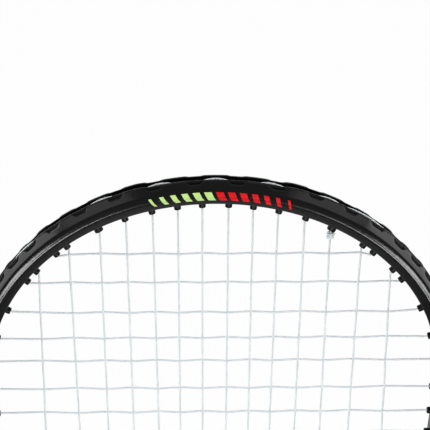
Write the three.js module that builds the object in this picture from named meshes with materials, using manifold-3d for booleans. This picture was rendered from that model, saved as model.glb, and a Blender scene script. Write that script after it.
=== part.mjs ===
// Crossminton racket, about 585 mm long, in millimetres.
// X is to the right, Z runs up the length from the butt to the crown, and the front faces -Y.
// A strung oval hoop stands on a wishbone fork. The fork's twin tubes run down as a short shaft
// into an octagonal handle of two pallet halves, closed by a butt cap and wound with a grip.
import * as THREE from 'three';
import { mergeVertices } from 'three/addons/utils/BufferGeometryUtils.js';
import Module from 'manifold-3d';

const wasm = await Module();
wasm.setup();

// Driving dimensions of the whole racket, from the butt up: handle, bare stem, throat and head
const handleLength = 198;      // from the butt to the top of the collar
const bareStem = 24;           // of the twin tubes, from the collar to where they part
const throatLength = 73;       // from there to the foot of the head
const headLength = 290;
const headWidth = 226;
const widestDrop = 94;         // from the crown's outside down to the widest station
const stringDiameter = 0.9;

// Clearances
const seatGap = 0.3;           // between pieces that touch on the real racket
const strapGap = 0.5;          // between the turns of the grip strap
const cutOverrun = 2;          // how far a cutter runs past what it cuts

// Hoop: a tube with a string groove round its outside, between two notched ridges
const hoopWidth = 10.3;        // in the plane of the head, at the sides
const crownSwell = 0.6;        // extra width at the crown
const hoopDepth = 17;          // front to back
const shoulderInset = 7;       // from the outside to the deepest station
const brimInset = 3.7;         // from the outside to the outer edge of the front face
const brimDepth = 15.8;        // front to back at that edge
const innerFlat = 8.8;         // front to back, on the inside of the hoop
const grooveWidth = 6.2;
const grooveDepth = 2.3;
const ridgeWidth = 1.5;
const notchDepth = 0.8;
const notchLength = 8.4;
const notchRamp = 1.6;

// Grommets
const barrelDiameter = 3.4;
const boreDiameter = 1.75;
const tieBarrelDiameter = 4.3;
const tieBoreDiameter = 3;
const barrelReach = 2.2;       // beyond the inside of the hoop, at the sides
const crownReach = 0.6;        // more of it at the crown
const webThickness = 0.8;
const webWidth = 4;
const webOverhang = 2.4;       // of the web beyond the last barrel

// Strings
const mainRise = 0.6;          // how far the strings' middles leave the string plane at a crossing
const laneOffset = 1.4;        // sideways step of a string that passes a hole in the groove
const laneRun = 2.2;           // length of that step
const tieOffset = 0.65;        // of each of the two strings that share a tie-off grommet
const knotDiameter = 3.1;
const knotHeight = 2.5;
const knotWaist = 0.5;

// Fork: two arms that merge into twin tubes
const armWidth = 10.6;
const armBevel = 2.6;
const armDepth = 16.4;         // at the hoop
const stemDepth = 15;
const stemSpread = 10;         // between the middles of the twin tubes
const stemBottom = 14;
const armRun = 34;             // length of the bend at the stem
const armSweep = 30;           // length of the bend at the hoop
const armSeat = 3.5;           // how far the arm reaches in past the outside of the hoop

// Handle
const palletWidth = 27;
const palletDepth = 24;
const palletChamfer = 7;
const flareTop = 70;           // where the handle's flare ends
const capFloor = 4;
const capLipHeight = 7;
const capLipGrow = 4.5;        // how far the cap's lip stands out past the pallet
const capEdge = 1.2;
const capSkirtTop = 26;
const capSkirtWall = 1;
const plugDiameter = 13;
const plugThickness = 1.6;
const screwDiameter = 2.4;
const screwHeadDiameter = 4.4;
const screwHeadHeight = 1.3;
const screwLength = 14;
const screwEnd = 0.4;           // radius of the blunted point
const strapThickness = 1.6;
const strapEdge = 0.6;
const strapStop = 5;           // from the end of the strap up to the top of the pallets
const strapTip = 3;            // width of the strap's tapered ends
const tapeHeight = 16;
const tapeThickness = 0.4;
const tapeOverrun = 3;         // of the tape above the strap
const collarRise = 22;         // of the collar above the pallets
const collarWall = 1.2;
const collarOverlap = 6;       // of the collar down over the tape

// Half spacings of the mains at the grommets' tips, from the middle outwards, at the crown and at
// the throat, as shares of half the head's width
const crownMainShares = [0.0518, 0.1487, 0.2487, 0.3544, 0.4584, 0.5832, 0.7053];
const throatMainShares = [0.0442, 0.1292, 0.2027, 0.3044, 0.4124, 0.5239, 0.69];
// Drops of the crosses from the crown's outside, as shares of the head's length: set one by one
// near the crown, and even below
const upperCrossShares = [0.1238, 0.1717, 0.2224, 0.2662, 0.3055, 0.3538, 0.3962];
const lowestCrossShare = 0.8116;

// Counts and shares
const crossCount = 18;
const barrelSides = 6;
const stringSides = 4;
const knotSides = 10;
const roundSides = 20;
const screwSides = 10;
const strapTurns = 7.5;
const strapStepsPerTurn = 16;
const armSteps = 9;
const tieMain = 4;             // the fifth main from the middle, where the strings are tied off
const landingMain = 2;         // the arms land between the third main and the fourth
const landingSteps = 6;
const bisections = 50;
const lowerSteps = 17;
const crownSwellPower = 4;
// Middles of the ridge notches, as shares of the quarter turn from the crown to the widest station
const notchShares = [0.053, 0.157, 0.258, 0.358, 0.443, 0.523, 0.594, 0.66, 0.727, 0.795];
const plainShares = [0.865, 0.935];    // stations below the last notch
const chamferShare = 2 - Math.SQRT2;   // growth of an octagon's chamfer for each unit it grows

// Colours and finishes
const finish = (name, color, roughness, metalness) => {
  const material = new THREE.MeshStandardMaterial({ color, roughness, metalness });
  material.name = name;
  return material;
};
const lacquer = finish('frame_lacquer', 0x0a0a0b, 0.16, 0);
const nylon = finish('grommet_nylon', 0x101011, 0.45, 0);
const gut = finish('string_gut', 0xdde2e6, 0.35, 0);
const foam = finish('pallet_foam', 0x8f8a7c, 0.8, 0);
const plastic = finish('butt_plastic', 0x141415, 0.4, 0);
const strapSkin = finish('grip_strap', 0x17181a, 0.75, 0);
const tapeVinyl = finish('finishing_tape', 0x1b1c1e, 0.35, 0);
const rubber = finish('collar_rubber', 0x101011, 0.7, 0);
const steel = finish('screw_steel', 0xb9bcc0, 0.3, 1);

// Solids from rings of points

// Triangles that close a flat ring of points
function capFaces(ring) {
  const middle = ring.reduce((sum, p) => sum.add(p), new THREE.Vector3()).divideScalar(ring.length);
  const normal = new THREE.Vector3();
  ring.forEach((p, k) => {
    const a = p.clone().sub(middle);
    const b = ring[(k + 1) % ring.length].clone().sub(middle);
    normal.add(a.cross(b));
  });
  const across = ring[0].clone().sub(middle).normalize();
  const up = normal.normalize().clone().cross(across);
  const flat = ring.map((p) => {
    const local = p.clone().sub(middle);
    return new THREE.Vector2(local.dot(across), local.dot(up));
  });
  return THREE.ShapeUtils.triangulateShape(flat, []);
}

// A closed body through a list of rings with the same number of points.
// A looped list joins its last ring to its first, and an open one is closed by two flat ends.
function loft(rings, looped = false) {
  const count = rings[0].length;
  const faces = [];
  const last = looped ? rings.length : rings.length - 1;
  for (let j = 0; j < last; j += 1) {
    const here = j * count;
    const next = ((j + 1) % rings.length) * count;
    for (let k = 0; k < count; k += 1) {
      const turn = (k + 1) % count;
      faces.push([here + k, here + turn, next + turn], [here + k, next + turn, next + k]);
    }
  }
  if (!looped) {
    const top = (rings.length - 1) * count;
    for (const [a, b, c] of capFaces(rings[0])) faces.push([c, b, a]);
    for (const [a, b, c] of capFaces(rings[rings.length - 1])) faces.push([top + a, top + b, top + c]);
  }
  return bodyOf(rings.flat(), faces);
}

// An indexed geometry whose faces point outwards
function bodyOf(points, faces) {
  let volume = 0;
  for (const [a, b, c] of faces) {
    volume += points[a].dot(points[b].clone().cross(points[c]));
  }
  const order = volume < 0 ? faces.map(([a, b, c]) => [a, c, b]) : faces;
  const geometry = new THREE.BufferGeometry();
  geometry.setAttribute('position', new THREE.Float32BufferAttribute(points.flatMap((p) => p.toArray()), 3));
  geometry.setIndex(order.flat());
  return geometry;
}

// Boolean helpers
function toSolid(geometry) {
  const bare = geometry.clone();
  bare.deleteAttribute('normal');
  bare.deleteAttribute('uv');
  const merged = mergeVertices(bare);
  return new wasm.Manifold(new wasm.Mesh({
    numProp: 3,
    vertProperties: merged.attributes.position.array,
    triVerts: Uint32Array.from(merged.index.array),
  }));
}

function toGeometry(solid) {
  const mesh = solid.getMesh();
  const geometry = new THREE.BufferGeometry();
  geometry.setAttribute('position', new THREE.BufferAttribute(mesh.vertProperties, 3));
  geometry.setIndex(new THREE.BufferAttribute(mesh.triVerts, 1));
  return geometry;
}

const cutAway = (base, cutters) =>
  toGeometry(cutters.reduce((left, cutter) => left.subtract(toSolid(cutter)), toSolid(base)));
const fuse = (pieces) => pieces.map(toSolid).reduce((sum, piece) => sum.add(piece));

// Levels up the racket
const palletTop = handleLength - collarRise;
const strapTop = palletTop - strapStop;
const stemTop = handleLength + bareStem;
const crownTop = stemTop + throatLength + headLength;

// Racket outline: the outside of the hoop, two half ellipses that meet at the widest station
const headSpan = headWidth / 2;
const widestHeight = crownTop - widestDrop;
const throatDrop = headLength - widestDrop;
const fullTurn = 2 * Math.PI;
const halfTurn = fullTurn / 2;
const quarter = fullTurn / 4;
const forwards = new THREE.Vector3(0, -1, 0);

const riseAt = (turn) => (Math.cos(turn) > 0 ? widestDrop : throatDrop);

function outwardAt(turn) {
  return new THREE.Vector3(Math.sin(turn) / headSpan, 0, Math.cos(turn) / riseAt(turn)).normalize();
}

// A place on the hoop. The turn is 0 at the crown and grows towards +X. Inset is measured in from
// the outside, and forward from the string plane.
function onHoop(turn, inset, forward = 0) {
  const place = new THREE.Vector3(
    headSpan * Math.sin(turn), 0, widestHeight + riseAt(turn) * Math.cos(turn));
  return place.addScaledVector(outwardAt(turn), -inset).addScaledVector(forwards, forward);
}

const crownShare = (turn) => Math.max(0, Math.cos(turn)) ** crownSwellPower;
const widthAt = (turn) => hoopWidth + crownSwell * crownShare(turn);
const barrelTip = (turn) => widthAt(turn) + barrelReach + crownReach * crownShare(turn);

// The turn at which a line at this inset reaches a given half width or a given height
function solveTurn(low, high, error) {
  let [near, far] = [low, high];
  const rising = error(far) > error(near);
  for (let step = 0; step < bisections; step += 1) {
    const middle = (near + far) / 2;
    if ((error(middle) > 0) === rising) far = middle;
    else near = middle;
  }
  return (near + far) / 2;
}
const tipInset = (turn) => barrelTip(turn) + seatGap;
const tipAt = (turn) => onHoop(turn, tipInset(turn));
const crownTurn = (x) => solveTurn(0, quarter, (turn) => tipAt(turn).x - x);
const throatTurn = (x) => solveTurn(quarter, halfTurn, (turn) => tipAt(turn).x - x);
const crossTurn = (z) => solveTurn(0, halfTurn, (turn) => tipAt(turn).z - z);

// String holes, listed for the right side; the left side mirrors them
const lowerGaps = crossCount - upperCrossShares.length;
const lastUpperShare = upperCrossShares[upperCrossShares.length - 1];
const crossHeights = [
  ...upperCrossShares,
  ...Array.from({ length: lowerGaps }, (_, k) => (
    lastUpperShare + (lowestCrossShare - lastUpperShare) * (k + 1) / lowerGaps)),
].map((share) => crownTop - share * headLength);
const mains = crownMainShares.map((share, index) => ({
  index, top: crownTurn(share * headSpan), bottom: throatTurn(throatMainShares[index] * headSpan),
}));
const crosses = crossHeights.map((height, index) => ({ index, turn: crossTurn(height) }));
const rightHoles = [
  ...mains.map((main) => ({ turn: main.top, tie: main.index === tieMain })),
  ...mains.map((main) => ({ turn: main.bottom, tie: main.index === tieMain })),
  ...crosses.map((cross) => ({ turn: cross.turn, tie: false })),
].sort((a, b) => a.turn - b.turn);

// A prism along the hoop's normal, from one inset to another
function radialPrism(turn, fromInset, toInset, diameter) {
  const along = new THREE.Vector3().crossVectors(outwardAt(turn), forwards);
  const ringAt = (inset) => Array.from({ length: barrelSides }, (_, k) => {
    const angle = (k / barrelSides) * fullTurn;
    return onHoop(turn, inset, Math.cos(angle) * diameter / 2)
      .addScaledVector(along, Math.sin(angle) * diameter / 2);
  });
  return loft([ringAt(fromInset), ringAt(toInset)]);
}
// What a prism's diameter grows by to leave the seat gap at its flats
const prismGap = 2 * seatGap / Math.cos(halfTurn / barrelSides);

// Hoop
function hoopRing(turn, drop) {
  const width = widthAt(turn);
  const half = [
    [grooveDepth, grooveWidth / 2],
    [drop, grooveWidth / 2],
    [drop, grooveWidth / 2 + ridgeWidth],
    [brimInset, brimDepth / 2],
    [shoulderInset, hoopDepth / 2],
    [width, innerFlat / 2],
  ];
  const front = half.map(([inset, forward]) => onHoop(turn, inset, forward));
  const back = half.map(([inset, forward]) => onHoop(turn, inset, -forward)).reverse();
  return [...front, ...back];
}

// Turn per millimetre along the outside of the hoop
function turnRate(turn) {
  return 1 / Math.hypot(headSpan * Math.cos(turn), riseAt(turn) * Math.sin(turn));
}

function hoop() {
  const stations = [{ turn: 0, drop: 0 }, { turn: quarter, drop: 0 }];
  for (const share of notchShares) {
    const middle = share * quarter;
    const rate = turnRate(middle);
    const reach = notchLength / 2;
    for (const [offset, drop] of [
      [-reach, 0], [notchRamp - reach, notchDepth], [reach - notchRamp, notchDepth], [reach, 0],
    ]) {
      stations.push({ turn: middle + offset * rate, drop });
    }
  }
  for (const share of plainShares) stations.push({ turn: share * quarter, drop: 0 });
  for (let k = 1; k < lowerSteps; k += 1) stations.push({ turn: quarter * (1 + k / lowerSteps), drop: 0 });
  stations.sort((a, b) => a.turn - b.turn);
  const mirrored = stations.filter((s) => s.turn > 0).map((s) => ({ turn: -s.turn, drop: s.drop })).reverse();
  const foot = { turn: halfTurn, drop: 0 };
  const rings = [foot, ...mirrored, ...stations].map((s) => hoopRing(s.turn, s.drop));
  const drills = rightHoles.flatMap(({ turn, tie }) => [turn, -turn].map((place) => radialPrism(
    place, -cutOverrun, widthAt(turn) + cutOverrun,
    (tie ? tieBarrelDiameter : barrelDiameter) + prismGap)));
  return cutAway(loft(rings, true), drills);
}

// Grommet strips: a web in the groove with a barrel through each hole
const webFloor = grooveDepth - seatGap;
const webTop = webFloor - webThickness;

function grommetStrip(holes) {
  const first = holes[0].turn;
  const last = holes[holes.length - 1].turn;
  const start = first - webOverhang * turnRate(first);
  const end = last + webOverhang * turnRate(last);
  const steps = holes.length * 2 - 1;
  const rings = Array.from({ length: steps + 1 }, (_, k) => {
    const turn = start + (end - start) * k / steps;
    return [[webFloor, 1], [webTop, 1], [webTop, -1], [webFloor, -1]]
      .map(([inset, side]) => onHoop(turn, inset, side * webWidth / 2));
  });
  const barrels = holes.map(({ turn, tie }) => radialPrism(
    turn, (webFloor + webTop) / 2, barrelTip(turn), tie ? tieBarrelDiameter : barrelDiameter));
  const bores = holes.map(({ turn, tie }) => radialPrism(
    turn, -cutOverrun, barrelTip(turn) + cutOverrun, tie ? tieBoreDiameter : boreDiameter));
  const solid = fuse([loft(rings), ...barrels]);
  return toGeometry(bores.reduce((left, bore) => left.subtract(toSolid(bore)), solid));
}

// The strips of the right side, as ranges of its holes from the crown to the throat
const stripRanges = [
  ['crown', 0, 4], ['tie_off_crown', 4, 5], ['shoulder', 5, 9], ['side_upper', 9, 13],
  ['side_middle', 13, 17], ['side_lower', 17, 21], ['flank', 21, 25], ['tie_off_throat', 27, 28],
  ['haunch', 25, 27], ['throat', 28, 32],
];

// Strings
const stringInset = webTop - seatGap - stringDiameter / 2;

// A round bar with mitred bends through a list of points
function bar(points, diameter, sides) {
  const runs = points.slice(1).map((p, k) => p.clone().sub(points[k]).normalize());
  let side = new THREE.Vector3().crossVectors(runs[0], forwards);
  if (side.lengthSq() < Number.EPSILON) side = new THREE.Vector3(1, 0, 0);
  side.normalize();
  const rings = points.map((point, k) => {
    const before = runs[Math.max(k - 1, 0)];
    const after = runs[Math.min(k, runs.length - 1)];
    const mitre = before.clone().add(after).normalize();
    const lift = new THREE.Vector3().crossVectors(before, side);
    const ring = Array.from({ length: sides }, (_, j) => {
      const angle = (j / sides) * fullTurn;
      const spoke = side.clone().multiplyScalar(Math.cos(angle)).addScaledVector(lift, Math.sin(angle));
      const slide = -spoke.dot(mitre) / before.dot(mitre);
      return point.clone().addScaledVector(spoke.addScaledVector(before, slide), diameter / 2);
    });
    side = side.applyQuaternion(new THREE.Quaternion().setFromUnitVectors(before, after));
    return ring;
  });
  return loft(rings);
}

// Where a main crosses a height, on the right side
function mainAt(main, height) {
  const top = tipAt(main.top);
  const bottom = tipAt(main.bottom);
  return THREE.MathUtils.lerp(top.x, bottom.x, (top.z - height) / (top.z - bottom.z));
}

// Crossings of a main of one side, from the crown down, and which string passes in front
const inFront = (side, main, cross) => ((main.index + cross.index + (side > 0 ? 1 : 0)) % 2 === 0 ? 1 : -1);
const crossesOf = (main) => crosses.filter((cross) => {
  const height = crossHeights[cross.index];
  const inside = tipAt(main.top).z > height && tipAt(main.bottom).z < height;
  return inside && mainAt(main, height) < tipAt(cross.turn).x;
});

const atSide = (side, point) => point.multiply(new THREE.Vector3(side, 1, 1));

function mainRun(side, main, share) {
  const places = crossesOf(main).map((cross) => atSide(side, new THREE.Vector3(
    mainAt(main, crossHeights[cross.index]), -mainRise * inFront(side, main, cross),
    crossHeights[cross.index])));
  const shift = forwards.clone().multiplyScalar(share);
  return [
    atSide(side, onHoop(main.top, stringInset)).add(shift),
    atSide(side, tipAt(main.top)).add(shift),
    ...places,
    atSide(side, tipAt(main.bottom)).add(shift),
    atSide(side, onHoop(main.bottom, stringInset)).add(shift),
  ];
}

function crossRun(cross) {
  const height = crossHeights[cross.index];
  const half = (side) => mains.filter((main) => crossesOf(main).includes(cross)).map((main) => (
    new THREE.Vector3(side * mainAt(main, height), mainRise * inFront(side, main, cross), height)));
  return [
    atSide(-1, onHoop(cross.turn, stringInset)),
    atSide(-1, tipAt(cross.turn)),
    ...half(-1).reverse(),
    ...half(1),
    tipAt(cross.turn),
    onHoop(cross.turn, stringInset),
  ];
}

// The way along the groove from one hole to another, past the holes between them in a side lane
function grooveRun(side, from, to, lane) {
  const low = Math.min(from, to);
  const high = Math.max(from, to);
  const passed = rightHoles.map((hole) => hole.turn)
    .filter((turn) => turn > low + Number.EPSILON && turn < high - Number.EPSILON);
  if (passed.length === 0) return [];
  const onward = Math.sign(to - from);
  if (onward < 0) passed.reverse();
  const ramps = [from + onward * laneRun * turnRate(from), ...passed, to - onward * laneRun * turnRate(to)];
  return ramps.map((turn) => atSide(side, onHoop(turn, stringInset, lane)));
}

function stringPath() {
  const half = (side) => mains.map((main) => mainRun(side, main, main.index === tieMain ? tieOffset : 0));
  const path = [];
  const addMain = (run, upwards) => path.push(...(upwards ? [...run].reverse() : run));
  const addLoop = (side, from, to, end) => (
    path.push(...grooveRun(side, mains[from][end], mains[to][end], laneOffset)));
  const outermost = mains.length - 1;
  // Left half: from the tie-off at the throat, in from the outermost main to the middle
  const left = half(-1);
  const startTurn = mains[tieMain].bottom;
  path.push(
    atSide(-1, onHoop(startTurn, tipInset(startTurn), -tieOffset)),
    atSide(-1, onHoop(startTurn, stringInset, -tieOffset)),
    ...grooveRun(-1, startTurn, mains[outermost].bottom, -laneOffset),
  );
  for (let k = outermost; k >= 0; k -= 1) {
    const upwards = k % 2 === 0;
    addMain(left[k], upwards);
    if (k > 0) addLoop(-1, k, k - 1, upwards ? 'top' : 'bottom');
  }
  // Right half: over the crown's middle, and from there out
  const right = half(1);
  for (let k = 0; k <= outermost; k += 1) {
    const upwards = k % 2 === 1;
    addMain(right[k], upwards);
    if (k < outermost) addLoop(1, k, k + 1, upwards ? 'top' : 'bottom');
  }
  // Crosses, from the throat up, to and fro
  const lowest = crosses.length - 1;
  path.push(...grooveRun(1, mains[outermost].bottom, crosses[lowest].turn, -laneOffset));
  for (let k = lowest; k >= 0; k -= 1) {
    const rightwards = k % 2 === 0;
    path.push(...(rightwards ? crossRun(crosses[k]) : crossRun(crosses[k]).reverse()));
    if (k > 0) {
      const lane = crosses[k].turn > quarter ? laneOffset : -laneOffset;
      path.push(...grooveRun(rightwards ? 1 : -1, crosses[k].turn, crosses[k - 1].turn, lane));
    }
  }
  // Tie-off at the crown, on the right
  const endTurn = mains[tieMain].top;
  path.push(
    ...grooveRun(1, crosses[0].turn, endTurn, -laneOffset),
    onHoop(endTurn, stringInset, -tieOffset),
    onHoop(endTurn, tipInset(endTurn), -tieOffset),
  );
  return path;
}

// A tie-off knot: a bellied ring of string pulled up round a main, below its grommet
function knot(side, main, end, shift) {
  const runs = mainRun(side, main, shift);
  const ends = end === 'top' ? runs.slice(1, 3) : runs.slice(-3, -1).reverse();
  const axis = ends[1].clone().sub(ends[0]).normalize();
  const across = new THREE.Vector3().crossVectors(axis, forwards).normalize();
  const lift = new THREE.Vector3().crossVectors(axis, across);
  const hole = stringDiameter / 2 + seatGap;
  const outer = knotDiameter / 2;
  const start = stringDiameter / 2 + seatGap;
  const profile = [
    [hole, start], [outer - knotWaist, start], [outer, start + knotHeight / 4],
    [outer - knotWaist, start + knotHeight / 2], [outer, start + knotHeight * 3 / 4],
    [outer - knotWaist, start + knotHeight], [hole, start + knotHeight],
  ];
  const rings = Array.from({ length: knotSides }, (_, k) => {
    const angle = (k / knotSides) * fullTurn;
    const spoke = across.clone().multiplyScalar(Math.cos(angle)).addScaledVector(lift, Math.sin(angle));
    return profile.map(([radius, depth]) => ends[0].clone()
      .addScaledVector(axis, depth).addScaledVector(spoke, radius));
  });
  return loft(rings, true);
}

// Fork
function armRing(place, along, depth) {
  const across = new THREE.Vector3().crossVectors(forwards, along).normalize();
  const [w, d] = [armWidth / 2, depth / 2];
  return [
    [w, d - armBevel], [w - armBevel, d], [armBevel - w, d], [-w, d - armBevel],
    [-w, armBevel - d], [armBevel - w, -d], [w - armBevel, -d], [w, armBevel - d],
  ].map(([x, f]) => place.clone().addScaledVector(across, x).addScaledVector(forwards, f));
}

const landing = (mains[landingMain].bottom + mains[landingMain + 1].bottom) / 2;

function arm(side) {
  const root = new THREE.Vector3(stemSpread / 2, 0, stemTop);
  const seat = onHoop(landing, armSeat);
  const lean = new THREE.Vector3(seat.x - root.x, 0, seat.z - root.z).normalize();
  const curve = new THREE.CubicBezierCurve3(
    root,
    root.clone().add(new THREE.Vector3(0, 0, armRun)),
    seat.clone().addScaledVector(lean, -armSweep),
    seat,
  );
  const normal = outwardAt(landing);
  const foot = new THREE.Vector3(stemSpread / 2, 0, stemBottom);
  const rings = [armRing(foot, new THREE.Vector3(0, 0, 1), stemDepth)];
  for (let k = 0; k <= armSteps; k += 1) {
    const share = k / armSteps;
    const along = curve.getTangent(share);
    const depth = THREE.MathUtils.lerp(stemDepth, armDepth, share);
    rings.push(armRing(curve.getPoint(share), along, depth));
  }
  // The last ring is slid along the arm until it lies flat under the hoop
  const tip = rings[rings.length - 1];
  for (const point of tip) {
    const slide = seat.clone().sub(point).dot(normal) / lean.dot(normal);
    point.addScaledVector(lean, slide);
  }
  return loft(rings.map((ring) => ring.map((point) => atSide(side, point))));
}

// The space the hoop takes near an arm, with the seat gap round it
function hoopSpace(side) {
  const reach = armWidth * 2 * turnRate(landing);
  const rings = Array.from({ length: landingSteps + 1 }, (_, k) => {
    const turn = landing - reach + 2 * reach * k / landingSteps;
    const half = [
      [-seatGap, grooveWidth / 2 + ridgeWidth + seatGap / 2],
      [brimInset, brimDepth / 2 + seatGap],
      [shoulderInset, hoopDepth / 2 + seatGap],
      [widthAt(turn) + seatGap, innerFlat / 2 + seatGap],
    ];
    const front = half.map(([inset, forward]) => onHoop(turn, inset, forward));
    const back = half.map(([inset, forward]) => onHoop(turn, inset, -forward)).reverse();
    return [...front, ...back].map((point) => atSide(side, point));
  });
  return loft(rings);
}

function fork() {
  const both = fuse([arm(1), arm(-1)]);
  return toGeometry([1, -1].reduce((left, side) => left.subtract(toSolid(hoopSpace(side))), both));
}

// Handle rings, each an octagon that follows the pallet at a distance
function octagon(width, depth, chamfer, height) {
  const [w, d, c] = [width / 2, depth / 2, chamfer];
  return [
    [w, c - d], [w, d - c], [w - c, d], [c - w, d], [-w, d - c], [-w, c - d], [c - w, -d], [w - c, -d],
  ].map(([x, y]) => new THREE.Vector3(x, y, height));
}
const palletRing = (grow, height) => octagon(
  palletWidth + 2 * grow, palletDepth + 2 * grow, palletChamfer + grow * chamferShare, height);

// How far the handle's flare stands out past the pallet, under the strap
const flareGrow = capLipGrow - strapThickness;
function underStrap(height) {
  const share = THREE.MathUtils.clamp((flareTop - height) / (flareTop - capLipHeight), 0, 1);
  return seatGap + (flareGrow - seatGap) * share;
}

const cavityWidth = stemSpread + armWidth + 2 * seatGap;
const cavityDepth = stemDepth + 2 * seatGap;

const palletBottom = capFloor + seatGap;

function screwAt(side) {
  return new THREE.Vector3(0, side * (palletDepth + cavityDepth) / 4, 0);
}

// A countersunk screw driven up from the butt, or the hole for it
function screwShape(side, gap) {
  const place = screwAt(side);
  const head = screwHeadDiameter / 2 + gap;
  const shank = screwDiameter / 2 + gap;
  const sunk = gap > 0 ? -cutOverrun : seatGap;
  const profile = [
    [head, sunk], [head, seatGap + gap], [shank, screwHeadHeight + seatGap + gap],
    [shank, screwLength - screwDiameter], [gap + screwEnd, screwLength + gap],
  ];
  const rings = profile.map(([radius, height]) => Array.from({ length: screwSides }, (_, k) => {
    const angle = (k / screwSides) * fullTurn;
    return new THREE.Vector3(Math.cos(angle) * radius, Math.sin(angle) * radius, height).add(place);
  }));
  return loft(gap > 0 ? rings : rings.slice(1));
}

function pallet(side) {
  const levels = [
    [0, palletBottom], [0, capSkirtTop + seatGap],
    [underStrap(capSkirtTop + seatGap) - seatGap, capSkirtTop + seatGap], [0, flareTop], [0, palletTop],
  ];
  const rings = levels.map(([grow, height]) => {
    const w = palletWidth / 2 + grow;
    const d = palletDepth / 2 + grow;
    const c = palletChamfer + grow * chamferShare;
    const [iw, id, split] = [cavityWidth / 2, cavityDepth / 2, seatGap / 2];
    return [
      [w, split], [w, d - c], [w - c, d], [c - w, d], [-w, d - c], [-w, split],
      [-iw, split], [-iw, id], [iw, id], [iw, split],
    ].map(([x, y]) => new THREE.Vector3(x, side * y, height));
  });
  return cutAway(loft(rings), [screwShape(side, seatGap)]);
}

function disc(diameter, bottom, top) {
  return loft([bottom, top].map((height) => Array.from({ length: roundSides }, (_, k) => {
    const angle = (k / roundSides) * fullTurn;
    return new THREE.Vector3(Math.cos(angle) * diameter / 2, Math.sin(angle) * diameter / 2, height);
  })));
}

function buttCap() {
  const inner = seatGap;
  const skirt = seatGap + capSkirtWall;
  const rings = [
    palletRing(capLipGrow - capEdge, 0),
    palletRing(capLipGrow, capEdge),
    palletRing(capLipGrow, capLipHeight - capEdge / 2),
    palletRing(capLipGrow - capEdge / 2, capLipHeight),
    palletRing(flareGrow - seatGap, capLipHeight),
    palletRing(skirt, capSkirtTop),
    palletRing(inner, capSkirtTop),
    palletRing(inner, capFloor),
  ];
  return cutAway(loft(rings), [
    disc(plugDiameter + 2 * seatGap, -cutOverrun, plugThickness + seatGap),
    screwShape(1, seatGap),
    screwShape(-1, seatGap),
  ]);
}

// Grip strap: a tapered band wound up the handle
function gripStrap() {
  const bottom = capLipHeight + seatGap;
  const pitch = (strapTop - bottom) / strapTurns;
  const rings = [];
  const edges = [];
  const steps = Math.ceil((strapTurns + 1) * strapStepsPerTurn);
  for (let k = 0; k <= steps; k += 1) {
    const turn = k / strapStepsPerTurn;
    const low = Math.max(bottom, bottom + pitch * turn - pitch + strapGap / 2);
    const high = Math.min(strapTop, bottom + pitch * turn - strapGap / 2);
    if (high - low < strapTip) continue;
    const profile = [
      [low, 0], [high, 0], [high, strapThickness - strapEdge], [high - strapEdge, strapThickness],
      [low + strapEdge, strapThickness], [low, strapThickness - strapEdge],
    ];
    const ring = profile.map(([height, lift]) => {
      const corners = palletRing(underStrap(height) + lift, height);
      const corner = Math.floor(k / 2) % corners.length;
      if (k % 2 === 0) return corners[corner];
      return corners[corner].clone().add(corners[(corner + 1) % corners.length]).divideScalar(2);
    });
    rings.push(ring);
    edges[k] = { low: ring[0], high: ring[1] };
  }
  let least = Infinity;
  edges.forEach((edge, k) => {
    const below = edges[k - strapStepsPerTurn];
    if (below) least = Math.min(least, edge.low.distanceTo(below.high));
  });
  console.log(`grip strap: least gap between turns ${least.toFixed(2)} mm`);
  return loft(rings);
}

// Finishing tape and collar
const gripGrow = seatGap + strapThickness;
const tapeTop = strapTop + tapeOverrun;

function finishingTape() {
  const inner = gripGrow + seatGap;
  const outer = inner + tapeThickness;
  return loft([
    palletRing(outer, tapeTop - tapeHeight), palletRing(outer, tapeTop),
    palletRing(inner, tapeTop), palletRing(inner, tapeTop - tapeHeight),
  ], true);
}

function collar() {
  const inner = gripGrow + 2 * seatGap + tapeThickness;
  const outer = inner + collarWall;
  const shelf = palletTop + seatGap;
  const stemRing = (grow, height) => octagon(
    cavityWidth + 2 * grow, cavityDepth + 2 * grow, armBevel + grow * chamferShare, height);
  return loft([
    palletRing(outer, tapeTop - collarOverlap), palletRing(outer, shelf + collarWall),
    stemRing(collarWall, handleLength),
    stemRing(0, handleLength), stemRing(0, shelf),
    palletRing(inner, shelf), palletRing(inner, tapeTop - collarOverlap),
  ], true);
}

// Assembly
const racket = new THREE.Group();
racket.name = 'crossminton_racket';

function add(name, geometry, material) {
  const mesh = new THREE.Mesh(geometry, material);
  mesh.name = name;
  racket.add(mesh);
}

add('hoop', hoop(), lacquer);
add('throat_fork', fork(), lacquer);
for (const [name, from, to] of stripRanges) {
  const holes = rightHoles.slice(from, to);
  const mirrored = holes.map(({ turn, tie }) => ({ turn: -turn, tie })).reverse();
  add(`grommets_${name}_right`, grommetStrip(holes), nylon);
  add(`grommets_${name}_left`, grommetStrip(mirrored), nylon);
}
add('racket_string', bar(stringPath(), stringDiameter, stringSides), gut);
add('knot_crown', knot(1, mains[tieMain], 'top', tieOffset), gut);
add('knot_throat', knot(-1, mains[tieMain], 'bottom', tieOffset), gut);
add('pallet_front', pallet(-1), foam);
add('pallet_back', pallet(1), foam);
add('butt_cap', buttCap(), plastic);
add('butt_plug', disc(plugDiameter, 0, plugThickness), plastic);
add('cap_screw_front', screwShape(-1, 0), steel);
add('cap_screw_back', screwShape(1, 0), steel);
add('grip_strap', gripStrap(), strapSkin);
add('finishing_tape', finishingTape(), tapeVinyl);
add('rubber_collar', collar(), rubber);

export default racket;
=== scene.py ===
# %% [markdown]
# # Dressing a crossminton racket
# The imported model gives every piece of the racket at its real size. This lesson keeps that frame
# fixed and gives each piece its looks: a fine mesh where the solid is faceted, and a procedural
# finish on every surface. All lengths are in metres, and X, Y and Z are the racket's own: X to the
# right, Z up its length, and the front facing -Y.

# %% Load the frame
import math

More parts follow.
